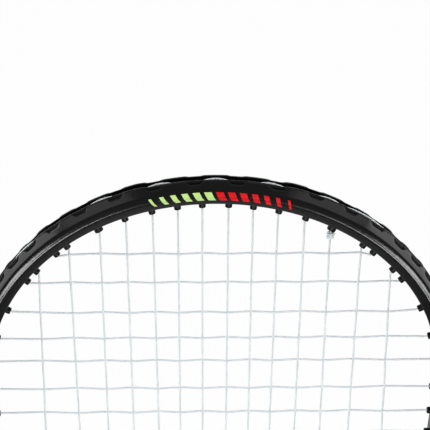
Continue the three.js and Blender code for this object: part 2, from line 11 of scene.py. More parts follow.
import bpy
import numpy as np
from mathutils import Matrix, Vector


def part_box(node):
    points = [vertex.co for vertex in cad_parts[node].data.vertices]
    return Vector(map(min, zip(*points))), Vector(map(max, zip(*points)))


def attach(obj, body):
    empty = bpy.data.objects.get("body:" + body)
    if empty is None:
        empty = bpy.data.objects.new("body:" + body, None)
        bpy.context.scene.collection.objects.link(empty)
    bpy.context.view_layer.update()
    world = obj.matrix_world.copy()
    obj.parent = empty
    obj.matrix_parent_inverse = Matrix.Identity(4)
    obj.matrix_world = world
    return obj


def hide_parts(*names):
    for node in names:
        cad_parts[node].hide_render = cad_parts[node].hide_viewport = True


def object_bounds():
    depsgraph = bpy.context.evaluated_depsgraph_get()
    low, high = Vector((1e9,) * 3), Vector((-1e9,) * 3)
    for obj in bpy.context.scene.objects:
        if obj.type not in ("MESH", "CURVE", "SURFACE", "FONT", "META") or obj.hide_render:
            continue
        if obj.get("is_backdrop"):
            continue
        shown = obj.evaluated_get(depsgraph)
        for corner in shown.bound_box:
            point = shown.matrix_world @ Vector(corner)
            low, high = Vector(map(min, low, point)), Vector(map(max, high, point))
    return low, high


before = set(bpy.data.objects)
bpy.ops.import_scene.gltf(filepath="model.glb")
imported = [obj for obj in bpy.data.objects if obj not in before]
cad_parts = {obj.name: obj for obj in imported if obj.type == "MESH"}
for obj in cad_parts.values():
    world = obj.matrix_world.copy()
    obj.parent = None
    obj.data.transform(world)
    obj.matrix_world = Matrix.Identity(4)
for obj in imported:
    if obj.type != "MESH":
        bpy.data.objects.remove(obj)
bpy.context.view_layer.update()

scene = bpy.context.scene
MM = 0.001

# %% [markdown]
# ## Camera
# The photograph looks down a little on the top of the head. Its place was solved from the hoop's
# outline and the string holes, and is kept here as an azimuth, an elevation, a roll and a distance.
# The lens is given as a focal length in pixels of the square picture, which the camera takes as
# millimetres on a sensor.

# %% Camera
IMAGE_SIDE = 430
SENSOR_WIDTH = 36.0
FOCAL_PIXELS = 1563.9
CAMERA_AZIMUTH = math.radians(-1.605)
CAMERA_ELEVATION = math.radians(19.233)
CAMERA_ROLL = math.radians(0.305)
CAMERA_DISTANCE = 0.700
CAMERA_TARGET = Vector((-0.0002, 0, 0.5675))


def add_camera():
    back = Vector((
        math.sin(CAMERA_AZIMUTH) * math.cos(CAMERA_ELEVATION),
        -math.cos(CAMERA_AZIMUTH) * math.cos(CAMERA_ELEVATION),
        math.sin(CAMERA_ELEVATION),
    ))
    level = Vector((math.cos(CAMERA_AZIMUTH), math.sin(CAMERA_AZIMUTH), 0))
    upright = back.cross(level)
    right = level * math.cos(CAMERA_ROLL) + upright * math.sin(CAMERA_ROLL)
    up = upright * math.cos(CAMERA_ROLL) - level * math.sin(CAMERA_ROLL)
    data = bpy.data.cameras.new("camera")
    data.sensor_width = SENSOR_WIDTH
    data.lens = SENSOR_WIDTH * FOCAL_PIXELS / IMAGE_SIDE
    camera = bpy.data.objects.new("camera", data)
    scene.collection.objects.link(camera)
    turn = Matrix((right, up, back)).transposed().to_4x4()
    camera.matrix_world = Matrix.Translation(CAMERA_TARGET + back * CAMERA_DISTANCE) @ turn
    scene.camera = camera
    return camera


camera = add_camera()
print(f"lens {camera.data.lens:.0f} mm, camera at {[round(v, 2) for v in camera.location]}")

# %% [markdown]
# ## Shader helpers
# Every finish below is one Principled BSDF. A finish first says what is the same all over, straight
# on the shader's sockets. Then noise, waves or an attribute vary its colour, roughness and height.
# These helpers keep each finish to a few lines, and `node_in` makes every node, also in the
# Geometry Nodes trees further down.

# %% Shader helpers
def node_in(tree, kind, links=(), **settings):
    """A node with its settings, and its inputs by name or number from sockets or constants."""
    node = tree.nodes.new(kind)
    for key, value in settings.items():
        setattr(node, key, value)
    for label, value in dict(links).items():
        socket = node.inputs[label]
        if isinstance(value, bpy.types.NodeSocket):
            tree.links.new(value, socket)
        else:
            socket.default_value = value
    return node


def empty_tree(holder):
    """The cleared node tree of a material or a world."""
    holder.use_nodes = True
    holder.node_tree.nodes.clear()
    return holder.node_tree


def new_finish(name, **constants):
    """A material with one Principled BSDF. Returns it with its node tree and the shader."""
    material = bpy.data.materials.new(name)
    tree = empty_tree(material)
    inputs = {label.replace("_", " "): value for label, value in constants.items()}
    shader = node_in(tree, "ShaderNodeBsdfPrincipled", inputs)
    node_in(tree, "ShaderNodeOutputMaterial", {"Surface": shader.outputs["BSDF"]})
    return material, tree, shader


def place(tree, stretch=(1, 1, 1)):
    """Object coordinates, stretched where a pattern runs in one direction."""
    spot = tree.nodes.new("ShaderNodeTexCoord").outputs["Object"]
    return node_in(tree, "ShaderNodeMapping", {"Vector": spot, "Scale": stretch}).outputs["Vector"]


def noise(tree, vector, cells, detail=3.0):
    """Soft noise with this many cells in a metre."""
    inputs = {"Vector": vector, "Scale": cells, "Detail": detail}
    return node_in(tree, "ShaderNodeTexNoise", inputs).outputs["Fac"]


def remap(tree, value, low, high, start=0.0, end=1.0):
    """The value from start to end, spread from low to high."""
    inputs = {"Value": value, "From Min": start, "From Max": end, "To Min": low, "To Max": high}
    return node_in(tree, "ShaderNodeMapRange", inputs).outputs["Result"]


def maths(tree, operation, first, second=0.0):
    """One sum of two values, each a socket or a number."""
    return node_in(tree, "ShaderNodeMath", {0: first, 1: second}, operation=operation).outputs["Value"]


def blend_colours(tree, share, dark, light):
    """From one colour to another as the share goes from 0 to 1."""
    node = node_in(tree, "ShaderNodeMix", {"Factor": share}, data_type="RGBA")
    sockets = [socket for socket in node.inputs if socket.type == "RGBA"]
    for socket, colour in zip(sockets, (dark, light)):
        socket.default_value = (*colour, 1)
    return next(socket for socket in node.outputs if socket.type == "RGBA")


def feed(tree, shader, **values):
    """Links each value to the shader's input of that name."""
    for label, value in values.items():
        tree.links.new(value, shader.inputs[label.replace("_", " ")])


def raise_surface(tree, shader, height, depth):
    """Bump from a height between 0 and 1 that stands for this depth in metres."""
    bump = node_in(tree, "ShaderNodeBump", {"Height": height, "Distance": depth})
    feed(tree, shader, Normal=bump.outputs["Normal"])


def attribute(tree, name, output="Fac"):
    """What the mesh's attribute of this name says."""
    return node_in(tree, "ShaderNodeAttribute", attribute_name=name).outputs[output]


# %% [markdown]
# ## Finishes
# The frame is sprayed gloss black. Lacquer is never a perfect mirror: it has a faint orange peel and
# a little dust in it, and in the groove and the notches it is thin and matt, which the mesh marks
# with an attribute. Its specular level is low, so that the white room does not turn it grey.
# Grommets are moulded nylon with a satin skin. The string is a pale twist of fine filaments with
# almost no shine, so that it reads as one even tone against the white.

# %% Lacquer, nylon and string
def make_lacquer():
    material, tree, shader = new_finish("frame_lacquer", IOR=1.3)
    spot = place(tree)
    cloud = noise(tree, spot, 60, detail=4)
    peel = noise(tree, spot, 420, detail=1)
    dust = noise(tree, spot, 2600, detail=0)
    worn = remap(tree, noise(tree, spot, 900), 0.85, 1.0)
    bare = maths(tree, "MULTIPLY", attribute(tree, "bare"), worn)
    speckle = maths(tree, "ADD", cloud, maths(tree, "MULTIPLY", dust, 0.5))
    shine = remap(tree, speckle, 0.10, 0.17, 0.4, 1.1)
    feed(tree, shader,
         Base_Color=blend_colours(tree, cloud, (0.0012, 0.0012, 0.0014), (0.0024, 0.0024, 0.0027)),
         Roughness=maths(tree, "ADD", shine, maths(tree, "MULTIPLY", bare, 0.35)),
         Specular_IOR_Level=remap(tree, bare, 0.25, 0.05))
    height = maths(tree, "ADD", peel, maths(tree, "MULTIPLY", dust, 0.4))
    raise_surface(tree, shader, height, 0.018 * MM)
    return material


def make_nylon():
    material, tree, shader = new_finish("grommet_nylon", IOR=1.3, Specular_IOR_Level=0.13)
    spot = place(tree)
    grain = noise(tree, spot, 2500, detail=2)
    mottle = noise(tree, spot, 300)
    feed(tree, shader,
         Base_Color=blend_colours(tree, mottle, (0.0020, 0.0020, 0.0022), (0.0045, 0.0045, 0.0050)),
         Roughness=remap(tree, grain, 0.24, 0.38))
    raise_surface(tree, shader, grain, 0.03 * MM)
    return material


FILAMENTS = 5                 # waves of the twist round the string
TWIST_LENGTH = 6.0 * MM       # along which a filament goes once round


def make_gut():
    """The twist comes from two attributes: how far along the string a point is, and where around it."""
    material, tree, shader = new_finish(
        "string_gut", IOR=1.5, Specular_IOR_Level=0.1, Coat_Weight=0.05, Coat_Roughness=0.2,
        Subsurface_Weight=0.15, Subsurface_Scale=0.6 * MM, Subsurface_Radius=(1, 1, 1))
    split = node_in(tree, "ShaderNodeSeparateXYZ", {"Vector": attribute(tree, "around", "Vector")})
    angle = maths(tree, "ARCTAN2", split.outputs["Y"], split.outputs["X"])
    lay = maths(tree, "MULTIPLY", attribute(tree, "along"), 2 * math.pi * FILAMENTS / TWIST_LENGTH)
    wave = maths(tree, "SINE", maths(tree, "ADD", maths(tree, "MULTIPLY", angle, FILAMENTS), lay))
    strand = remap(tree, wave, 0, 1, -1.0, 1.0)
    spot = place(tree)
    tone = maths(tree, "MULTIPLY", strand, noise(tree, spot, 120))
    feed(tree, shader,
         Base_Color=blend_colours(tree, tone, (0.74, 0.80, 0.83), (0.87, 0.91, 0.92)),
         Roughness=remap(tree, noise(tree, spot, 900), 0.26, 0.42))
    raise_surface(tree, shader, strand, 0.02 * MM)
    return material


lacquer = make_lacquer()
nylon = make_nylon()
gut = make_gut()
print("finishes:", lacquer.name, nylon.name, gut.name)

# %% [markdown]
# The handle's finishes are softer. The grip strap is a foamed skin with a pebbled grain, the
# collar is matt rubber, the tape is smooth vinyl with a flattened grain, the cap is moulded with a
# fine spark-eroded texture, and the screws are turned steel. Five of them and the two printed colours
# differ only in numbers, so one function makes them all.

# %% Handle finishes
def make_plain_finish(
        name, dark, light, rough, grain_cells, grain_depth, stretch=(1, 1, 1), **constants):
    """A finish that varies softly in colour and shine, over one even grain."""
    material, tree, shader = new_finish(name, **constants)
    spot = place(tree, stretch)
    grain = noise(tree, spot, grain_cells, detail=2)
    mottle = noise(tree, spot, grain_cells / 12, detail=4)
    feed(tree, shader,
         Base_Color=blend_colours(tree, mottle, dark, light),
         Roughness=remap(tree, grain, *rough, 0.3, 0.7))
    raise_surface(tree, shader, grain, grain_depth)
    return material


def make_strap_skin():
    material, tree, shader = new_finish(
        "grip_strap_skin", IOR=1.4, Specular_IOR_Level=0.3, Sheen_Weight=0.04, Sheen_Roughness=0.5)
    spot = place(tree)
    pebbles = node_in(
        tree, "ShaderNodeTexVoronoi", {"Vector": spot, "Scale": 1500}, feature="SMOOTH_F1")
    waves = maths(tree, "MULTIPLY", noise(tree, spot, 220), 0.5)
    grain = maths(tree, "ADD", pebbles.outputs["Distance"], waves)
    mottle = noise(tree, spot, 70, detail=5)
    feed(tree, shader,
         Base_Color=blend_colours(tree, mottle, (0.009, 0.009, 0.010), (0.020, 0.020, 0.022)),
         Roughness=remap(tree, grain, 0.78, 0.52))
    raise_surface(tree, shader, grain, 0.10 * MM)
    return material


strap_skin = make_strap_skin()
collar_rubber = make_plain_finish(
    "collar_rubber", (0.007, 0.007, 0.008), (0.014, 0.014, 0.015), (0.42, 0.58), 900, 0.04 * MM,
    IOR=1.4, Specular_IOR_Level=0.25)
tape_vinyl = make_plain_finish(
    "tape_vinyl", (0.012, 0.012, 0.013), (0.020, 0.020, 0.022), (0.22, 0.34), 500, 0.03 * MM,
    stretch=(1, 1, 5), IOR=1.4, Specular_IOR_Level=0.35)
cap_plastic = make_plain_finish(
    "cap_plastic", (0.008, 0.008, 0.009), (0.016, 0.016, 0.017), (0.30, 0.44), 1800, 0.05 * MM,
    IOR=1.4, Specular_IOR_Level=0.3)
pallet_foam = make_plain_finish(
    "pallet_foam", (0.22, 0.20, 0.16), (0.34, 0.31, 0.25), (0.70, 0.90), 1200, 0.12 * MM)
screw_steel = make_plain_finish(
    "screw_steel", (0.50, 0.51, 0.52), (0.66, 0.67, 0.68), (0.20, 0.36), 2200, 0.01 * MM,
    stretch=(1, 6, 1), Metallic=1.0)
decal_lime = make_plain_finish(
    "decal_lime", (0.60, 0.88, 0.28), (0.66, 0.94, 0.33), (0.22, 0.32), 700, 0.01 * MM,
    IOR=1.3, Specular_IOR_Level=0.12)
decal_red = make_plain_finish(
    "decal_red", (0.76, 0.004, 0.008), (0.86, 0.007, 0.012), (0.22, 0.32), 700, 0.01 * MM,
    IOR=1.3, Specular_IOR_Level=0.12)
print("handle finishes made")

# %% [markdown]
# ## Mesh helpers
# Most pieces are lofts: a closed section that changes as it moves along. A section is drawn with
# sharp corners and then filleted, so that each edge catches the light. `loft` joins the rings, and
# closes the ends or joins the last ring to the first.

# %% Mesh helpers
def soft_bend(start, corner, end, steps):
    """Points on the way from start to end, bent towards the corner."""
    return [
        (1 - t) ** 2 * start + 2 * t * (1 - t) * corner + t ** 2 * end
        for t in np.linspace(0, 1, steps)]


def fillet(corners, radii, steps=4):
    """A closed polygon whose corners are rounded: each radius is the length cut from both sides."""
    count = len(corners)
    points = []
    for k in range(count):
        here = np.array(corners[k], float)
        before = np.array(corners[k - 1], float) - here
        after = np.array(corners[(k + 1) % count], float) - here
        if radii[k] == 0:
            points.append(here)
            continue
        start, end = (
            here + way / np.linalg.norm(way) * min(radii[k], np.linalg.norm(way) / 2)
            for way in (before, after))
        points += soft_bend(start, here, end, steps)
    return np.array(points)


def new_object(name, vertices, faces, material, smooth=True):
    """An object in the scene from points and faces."""
    mesh = bpy.data.meshes.new(name)
    mesh.from_pydata([tuple(v) for v in vertices], [], faces)
    if smooth:
        mesh.shade_smooth()
    if material:
        mesh.materials.append(material)
    mesh.validate()
    thing = bpy.data.objects.new(name, mesh)
    scene.collection.objects.link(thing)
    return thing


def loft(name, rings, material, looped=False):
    """A closed mesh through rings of points. Its faces are turned outwards by its signed volume."""
    rings = np.array(rings, float)
    stations, count = rings.shape[:2]
    faces = []
    for j in range(stations if looped else stations - 1):
        here, onward = j * count, (j + 1) % stations * count
        for k in range(count):
            turn = (k + 1) % count
            faces.append((here + k, here + turn, onward + turn, onward + k))
    vertices = rings.reshape(-1, 3)
    if not looped:
        faces.append(tuple(range(count))[::-1])
        faces.append(tuple(range((stations - 1) * count, stations * count)))
    volume = sum(
        np.dot(vertices[f[0]], np.cross(vertices[f[k]], vertices[f[k + 1]]))
        for f in faces for k in range(1, len(f) - 1))
    if volume < 0:
        faces = [f[::-1] for f in faces]
    return new_object(name, vertices, faces, material)


def lathe(name, profile, sides, material=None):
    """A closed shape turned about Z from a closed outline of radii and heights."""
    angles = np.arange(sides) / sides * 2 * math.pi
    rings = [[(r * math.cos(a), r * math.sin(a), z) for r, z in profile] for a in angles]
    return loft(name, rings, material, looped=True)


ON_AXIS = 0.001 * MM          # radius at which a turned solid closes on its axis


def turned(name, steps, sides, material=None):
    """A turned solid from radii and heights, given from its lower end to its upper."""
    profile = [(ON_AXIS, steps[0][1]), *steps, (ON_AXIS, steps[-1][1])]
    return lathe(name, profile, sides, material)


def smooth_below(thing, degrees):
    """Smooth shading, with hard edges where faces meet at more than this angle."""
    thing.data.shade_smooth()
    thing.data.set_sharp_from_angle(angle=math.radians(degrees))


def keep_result(thing):
    """Puts what the modifiers make in place of the object's mesh, and drops the modifiers."""
    evaluated = thing.evaluated_get(bpy.context.evaluated_depsgraph_get())
    mesh = bpy.data.meshes.new_from_object(evaluated)
    old = thing.data
    thing.modifiers.clear()
    thing.data = mesh
    mesh.name = thing.name
    bpy.data.meshes.remove(old)
    return thing


def drop(*helpers):
    """Removes objects that have done their work."""
    for helper in helpers:
        bpy.data.objects.remove(helper)


def paint(thing, material):
    """Gives the whole object one material."""
    thing.data.materials.clear()
    thing.data.materials.append(material)


def cut(base, cutters, operation="DIFFERENCE"):
    """Cuts or joins closed meshes, keeps the result in base and removes the others."""
    for cutter in cutters:
        modifier = base.modifiers.new("cut", "BOOLEAN")
        modifier.object = cutter
        modifier.operation = operation
        modifier.solver = "MANIFOLD"
    keep_result(base)
    drop(*cutters)
    return base


def finish_piece(piece, slot, *nodes):
    """The piece rides on the racket's one body and stands for its CAD nodes."""
    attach(piece, "root")
    if nodes:
        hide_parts(*nodes)
    corners = len(piece.data.loops) - 2 * len(piece.data.polygons)
    print(f"{piece.name}: {corners} triangles")
    return piece


# %% [markdown]
# ## Geometry Nodes helpers
# What repeats is instanced by a node tree. A tree has named inputs for its sizes, and ends by making
# its instances real and giving them a material. `run_tree` sets each input by its identifier,
# evaluates the object once and keeps the plain mesh. Barrels, eyelets, perforations and screws are
# all copies on points, so one group of nodes serves them: each point carries the direction in which
# its copy points and how long it is.

# %% Geometry Nodes helpers
SOCKETS = {
    "length": "NodeSocketFloat", "count": "NodeSocketInt", "object": "NodeSocketObject",
    "material": "NodeSocketMaterial",
}


def new_tree(name, inputs):
    """An empty tree with a geometry input and these named ones. Returns it with its two end nodes."""
    tree = bpy.data.node_groups.new(name, "GeometryNodeTree")
    tree.interface.new_socket("Geometry", in_out="INPUT", socket_type="NodeSocketGeometry")
    for label, kind in inputs.items():
        tree.interface.new_socket(label, in_out="INPUT", socket_type=SOCKETS[kind])
    tree.interface.new_socket("Geometry", in_out="OUTPUT", socket_type="NodeSocketGeometry")
    return tree, tree.nodes.new("NodeGroupInput"), tree.nodes.new("NodeGroupOutput")


def end_tree(tree, ends, geometry, material):
    """Makes the geometry real, gives it the material and ends the tree."""
    real = node_in(tree, "GeometryNodeRealizeInstances", {"Geometry": geometry})
    painted = node_in(tree, "GeometryNodeSetMaterial", {
        "Geometry": real.outputs["Geometry"], "Material": material})
    tree.links.new(painted.outputs["Geometry"], ends.inputs["Geometry"])


def run_tree(thing, tree, values):
    """Runs the tree on the object and keeps its result as the object's plain mesh."""
    modifier = thing.modifiers.new("nodes", "NODES")
    modifier.node_group = tree
    for item in tree.interface.items_tree:
        if item.in_out == "INPUT" and item.name in values:
            modifier[item.identifier] = values[item.name]
    return keep_result(thing)


# %% Copies on points
def point_object(name, points, axes, stretches=None):
    """Loose points that carry the direction in which their copy points, and how long it is."""
    thing = new_object(name, points, [], None, smooth=False)
    stretches = np.ones(len(points)) if stretches is None else np.array(stretches)
    scales = np.column_stack([np.ones((len(points), 2)), stretches])
    for label, values in (("axis", axes), ("stretch", scales)):
        layer = thing.data.attributes.new(label, "FLOAT_VECTOR", "POINT")
        layer.data.foreach_set("vector", np.array(values, np.float32).ravel())
    return thing


def copies_on(tree, points, shape):
    """Nodes that set a copy of the shape on each point, turned and stretched as the point says."""
    model = node_in(tree, "GeometryNodeObjectInfo", {"Object": shape})
    axis, stretch = (
        node_in(tree, "GeometryNodeInputNamedAttribute", {"Name": label}, data_type="FLOAT_VECTOR")
        for label in ("axis", "stretch"))
    turn = node_in(
        tree, "FunctionNodeAlignRotationToVector", {"Vector": axis.outputs["Attribute"]}, axis="Z")
    copies = node_in(tree, "GeometryNodeInstanceOnPoints", {
        "Points": points, "Instance": model.outputs["Geometry"],
        "Rotation": turn.outputs["Rotation"], "Scale": stretch.outputs["Attribute"]})
    return copies.outputs["Instances"]


def copies_tree(name):
    """A tree that turns an object's points into copies of a shape."""
    tree, start, end = new_tree(name, {"Shape": "object", "Material": "material"})
    copies = copies_on(tree, start.outputs["Geometry"], start.outputs["Shape"])
    end_tree(tree, end, copies, start.outputs["Material"])
    return tree


# %% [markdown]
# ## Outline of the head
# Everything in the head hangs on one curve, the outside of the hoop: two half ellipses that meet at
# the widest station. A place on it is a turn, 0 at the crown and growing towards +X, with an inset
# towards the middle of the head and a distance forward of the string plane. The frame gives the
# head's width, foot and crown.

# %% Outline of the head
hoop_low, hoop_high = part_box("hoop")
HEAD_SPAN = (hoop_high.x - hoop_low.x) / 2
HEAD_FOOT = hoop_low.z
CROWN_TOP = hoop_high.z
HEAD_LENGTH = CROWN_TOP - HEAD_FOOT
WIDEST_DROP = 94 * MM
THROAT_DROP = HEAD_LENGTH - WIDEST_DROP
QUARTER = math.pi / 2
HOOP_WIDTH = 10.3 * MM
CROWN_SWELL = 0.6 * MM
CROWN_SWELL_POWER = 8
FINE_TURNS = 20001            # stations at which the outline's length is measured


def rise_at(turn):
    """The half ellipse's height above or below the widest station."""
    return np.where(np.cos(turn) > 0, WIDEST_DROP, THROAT_DROP)


def outward_at(turn):
    """The outline's normal."""
    turn = np.asarray(turn, float)
    way = np.stack([np.sin(turn) / HEAD_SPAN, 0 * turn, np.cos(turn) / rise_at(turn)], -1)
    return way / np.linalg.norm(way, axis=-1, keepdims=True)


def on_hoop(turn, inset, forward=0.0):
    """The place at a turn, an inset and a distance forward."""
    turn = np.asarray(turn, float)
    spot = np.stack([
        HEAD_SPAN * np.sin(turn), 0 * turn - forward,
        CROWN_TOP - WIDEST_DROP + rise_at(turn) * np.cos(turn)], -1)
    return spot - outward_at(turn) * np.asarray(inset)[..., None]


def width_at(turn):
    """The hoop's width in the plane of the head."""
    return HOOP_WIDTH + CROWN_SWELL * np.maximum(0, np.cos(turn)) ** CROWN_SWELL_POWER


def turn_rate(turn):
    """Turn per metre along the outside."""
    return 1 / np.hypot(HEAD_SPAN * np.cos(turn), rise_at(turn) * np.sin(turn))


def even_turns(spacing):
    """Turns all the way round, this far apart along the outside."""
    fine = np.linspace(-math.pi, math.pi, FINE_TURNS)
    length = np.concatenate([[0], np.cumsum(np.diff(fine) / turn_rate(fine[:-1]))])
    count = int(round(length[-1] / spacing))
    return np.interp(np.arange(count) / count * length[-1], length, fine)


print(f"head {2000 * HEAD_SPAN:.0f} x {1000 * HEAD_LENGTH:.0f} mm")

# %% [markdown]
# ## Hoop
# The real hoop is a moulded tube. Round its outside runs a groove for the strings, between two
# notched ridges. In front and behind, a bevel leads from the ridge to the nearly flat face, and the
# tube falls away from there to a narrow inside wall. The section could be swept by a curve, but it
# changes on its way, so it is lofted from hundreds of rings. Each half is drawn from the groove's
# middle to the inside wall. Its soft corners matter more than anything else here, because gloss
# black shows nothing but reflections.
#
# A notch in the front ridge is a pocket in its front corner, and the ridge's crest runs on behind
# it. The camera sees it as a dark slot. At the back, a notch only lowers the ridge's corner. Over the
# head's shoulders both ridges stand out a little further.

# %% Hoop
GROOVE_DEPTH = 3.1 * MM
GROOVE_SINK = 0.3 * MM
GROOVE_SINK_POWER = 3
GROOVE_HALF = 3.1 * MM
RIDGE_WIDTH = 1.5 * MM
RIDGE_SWELL = 0.6 * MM
SWELL_START = math.radians(14.5)
SWELL_END = math.radians(47.5)
SWELL_RAMP = math.radians(4)
BRIM_INSET = 3.2 * MM
BRIM_HALF = 7.9 * MM
FACE_INSET = 4.7 * MM
FACE_HALF = 8.25 * MM
EDGE_INSET = 5.4 * MM
EDGE_HALF = 8.35 * MM
SHOULDER_INSET = 6.4 * MM
SHOULDER_HALF = 8.39 * MM
INNER_HALF = 4.4 * MM
NOTCH_FRONT = 1.3 * MM
NOTCH_BACK = 0.55 * MM
CREST_DIP_FRONT = 0.1         # share of a notch's depth by which the ridge's crest dips behind it
CREST_DIP_BACK = 0.25
FRONT_RIM = 0.3 * MM          # how much higher the front ridge's crest stands
CREST_WIDTH = 0.8 * MM        # of the crest that runs on behind a front notch
POCKET_WALL = 0.25 * MM       # run of a front notch's steep wall
POCKET_SHARE = 0.8            # of a front notch's depth, at the foot of that wall
CREST_SINK = 0.3 * MM         # what lies no deeper than this belongs to the crest
NOTCH_LENGTH = 8.4 * MM
NOTCH_RAMP = 1.8 * MM
NOTCH_SHARES = [0.053, 0.157, 0.258, 0.358, 0.443, 0.523, 0.594, 0.66, 0.727, 0.795]
STATION_SPACING = 0.95 * MM
INSIDE_MATT = 0.5             # how matt the inside wall is, where the spray reached less
CREST_MATT = 0.30             # and the ridges' crests
FILLET_RADII = [r * MM for r in (0.6, 0.4, 0.3, 0.2, 0.7, 0.9, 0.6, 0.35, 0.6, 0.6)]
FILLET_STEPS = 5
BARE_MARGIN = 0.3 * MM        # between the groove's bare zone and the ridges' front corners


def ease(share):
    """From 0 to 1 with soft ends."""
    share = np.clip(share, 0, 1)
    return share * share * (3 - 2 * share)


def ridge_swell(turn):
    """How far the ridges and the groove stand out of the outline, over the head's shoulders."""
    away = np.abs(turn)
    return RIDGE_SWELL * ease(np.minimum(away - SWELL_START, SWELL_END - away) / SWELL_RAMP)


def groove_at(turn):
    """The groove's depth, a little more at the head's sides than at its crown."""
    sink = GROOVE_SINK * (1 - np.maximum(0, np.cos(turn)) ** GROOVE_SINK_POWER)
    return GROOVE_DEPTH + sink - ridge_swell(turn)


def notch_share(turns):
    """How far the ridges dip at each turn, from 0 to 1."""
    dip = np.zeros_like(turns)
    for share in NOTCH_SHARES:
        middle = share * QUARTER
        away = np.abs(np.abs(turns) - middle) / turn_rate(middle)
        dip = np.maximum(dip, ease((NOTCH_LENGTH / 2 - away) / NOTCH_RAMP))
    return dip


def hoop_section(turn, notch=0.0):
    """The whole section as insets and distances forward, with the ridges dipped by a notch's share."""
    corners = []
    swell = ridge_swell(turn)
    for side, depth, dip in ((1, NOTCH_FRONT, CREST_DIP_FRONT), (-1, NOTCH_BACK, CREST_DIP_BACK)):
        crest = depth * notch * dip - swell - (FRONT_RIM if side > 0 else 0)
        drop = depth * notch - swell
        bevel_run = drop if side > 0 else depth * notch
        ridge = RIDGE_WIDTH + bevel_run * (BRIM_HALF - GROOVE_HALF - RIDGE_WIDTH) / BRIM_INSET
        wall_end = CREST_WIDTH + POCKET_WALL
        shares = (0, POCKET_SHARE) if side > 0 else (CREST_WIDTH / ridge, wall_end / ridge)
        half = [
            (groove_at(turn), GROOVE_HALF), (crest, GROOVE_HALF),
            (crest + (drop - crest) * shares[0], GROOVE_HALF + CREST_WIDTH),
            (crest + (drop - crest) * shares[1], GROOVE_HALF + wall_end),
            (drop, GROOVE_HALF + ridge), (BRIM_INSET, BRIM_HALF), (FACE_INSET, FACE_HALF),
            (EDGE_INSET, EDGE_HALF), (SHOULDER_INSET, SHOULDER_HALF), (width_at(turn), INNER_HALF),
        ]
        corners += [(inset, side * forward) for inset, forward in half[::side]]
    return fillet(corners, FILLET_RADII + FILLET_RADII[::-1], steps=FILLET_STEPS)


def make_hoop():
    """The tube, with an attribute that says how bare and matt each point is."""
    turns = even_turns(STATION_SPACING)
    rings, bare = [], []
    for turn, notch in zip(turns, notch_share(turns)):
        section = hoop_section(turn, notch)
        rings.append(on_hoop(np.full(len(section), turn), section[:, 0], section[:, 1]))
        inset, away = section[:, 0], np.abs(section[:, 1])
        in_groove = (inset < BRIM_INSET) & (away < GROOVE_HALF + RIDGE_WIDTH - BARE_MARGIN + inset)
        on_crest = (inset + ridge_swell(turn) < CREST_SINK) & (away > GROOVE_HALF)
        inside = inset > SHOULDER_INSET + FILLET_RADII[-2] / 2
        matt = np.where(on_crest, CREST_MATT, 1.0)
        bare.append(np.where(in_groove, matt, np.where(inside, INSIDE_MATT, 0.0)))
    tube = loft("hoop_tube", rings, lacquer, looped=True)
    layer = tube.data.attributes.new("bare", "FLOAT", "POINT")
    layer.data.foreach_set("value", np.array(bare, np.float32).ravel())
    return tube


hoop = make_hoop()
print("notches:", 2 * len(NOTCH_SHARES), "on each ridge")

# %% [markdown]
# ## String holes
# The mains fan out a little from the throat to the crown, and the crosses lie closer together at
# the crown. Each hole is found from where the string leaves its grommet's tip, and the barrel then
# points along the hoop's normal, as a drill would. The same rule places the holes in the solids.

# %% String holes
TIP_INSET = 12.5 * MM         # of the barrels' tips, at the head's sides
TIP_SWELL = 1.2 * MM          # how much further in they are at the crown
TIP_SWELL_POWER = 4
BARREL_LENGTH = 10.4 * MM     # before it is stretched to reach its web
BARREL_RADIUS = 1.7 * MM
BORE_RADIUS = 0.875 * MM
TIE_BARREL_RADIUS = 2.15 * MM
TIE_BORE_RADIUS = 1.5 * MM
SEAT_GAP = 0.3 * MM
WEB_THICKNESS = 0.8 * MM
WEB_WIDTH = 4.0 * MM
WEB_OVERHANG = 2.4 * MM
STRING_RADIUS = 0.45 * MM
TOUCH = 0.02 * MM             # between the string and the web it lies on
SPAN_RISE = 1.1 * MM          # how far the string lifts off the web between two holes
CROWN_MAIN_SHARES = [0.0518, 0.1487, 0.2487, 0.3544, 0.4584, 0.5832, 0.7053]
THROAT_MAIN_SHARES = [0.0442, 0.1292, 0.2027, 0.3044, 0.4124, 0.5239, 0.69]
UPPER_CROSS_SHARES = [0.1238, 0.1717, 0.2224, 0.2662, 0.3055, 0.3538, 0.3962]
LOWEST_CROSS_SHARE = 0.8116
CROSS_COUNT = 18
TIP_DROPS = {0: 1.0 * MM, 2: -0.8 * MM}       # how much lower these crosses' barrels are than their run
TIE_MAIN = 4
TIE_OFFSET = 0.65 * MM        # of the two strings in a tie-off hole, to its front and its back
LANE_OFFSET = 1.4 * MM        # of the side lane from the groove's middle
LANE_RUN = 2.2 * MM           # along which the string steps into the lane
MAIN_RISE = 0.6 * MM          # how far both strings swing out of the plane at a crossing


def web_top_at(turn):
    """The inset of the web's outer face."""
    return groove_at(turn) - SEAT_GAP - WEB_THICKNESS


def string_inset_at(turn):
    """The inset of the string's middle where it lies on the web, beside a hole."""
    return web_top_at(turn) - STRING_RADIUS - TOUCH


def tip_inset_at(turn):
    """The inset of the barrels' tips."""
    return TIP_INSET + TIP_SWELL * np.maximum(0, np.cos(turn)) ** TIP_SWELL_POWER


def tip_at(turn):
    """Where the string leaves its barrel."""
    return on_hoop(turn, tip_inset_at(turn) + SEAT_GAP)


HALVINGS = 50


def solve_turn(low, high, error):
    """The turn between low and high at which the error is nought."""
    rising = error(high) > error(low)
    for _ in range(HALVINGS):
        middle = (low + high) / 2
        if (error(middle) > 0) == rising:
            high = middle
        else:
            low = middle
    return (low + high) / 2


def turns_at(axis, values, low, high):
    """The turns whose tips lie at these values of x or z."""
    return [solve_turn(low, high, lambda t, v=v: tip_at(t)[axis] - v) for v in values]


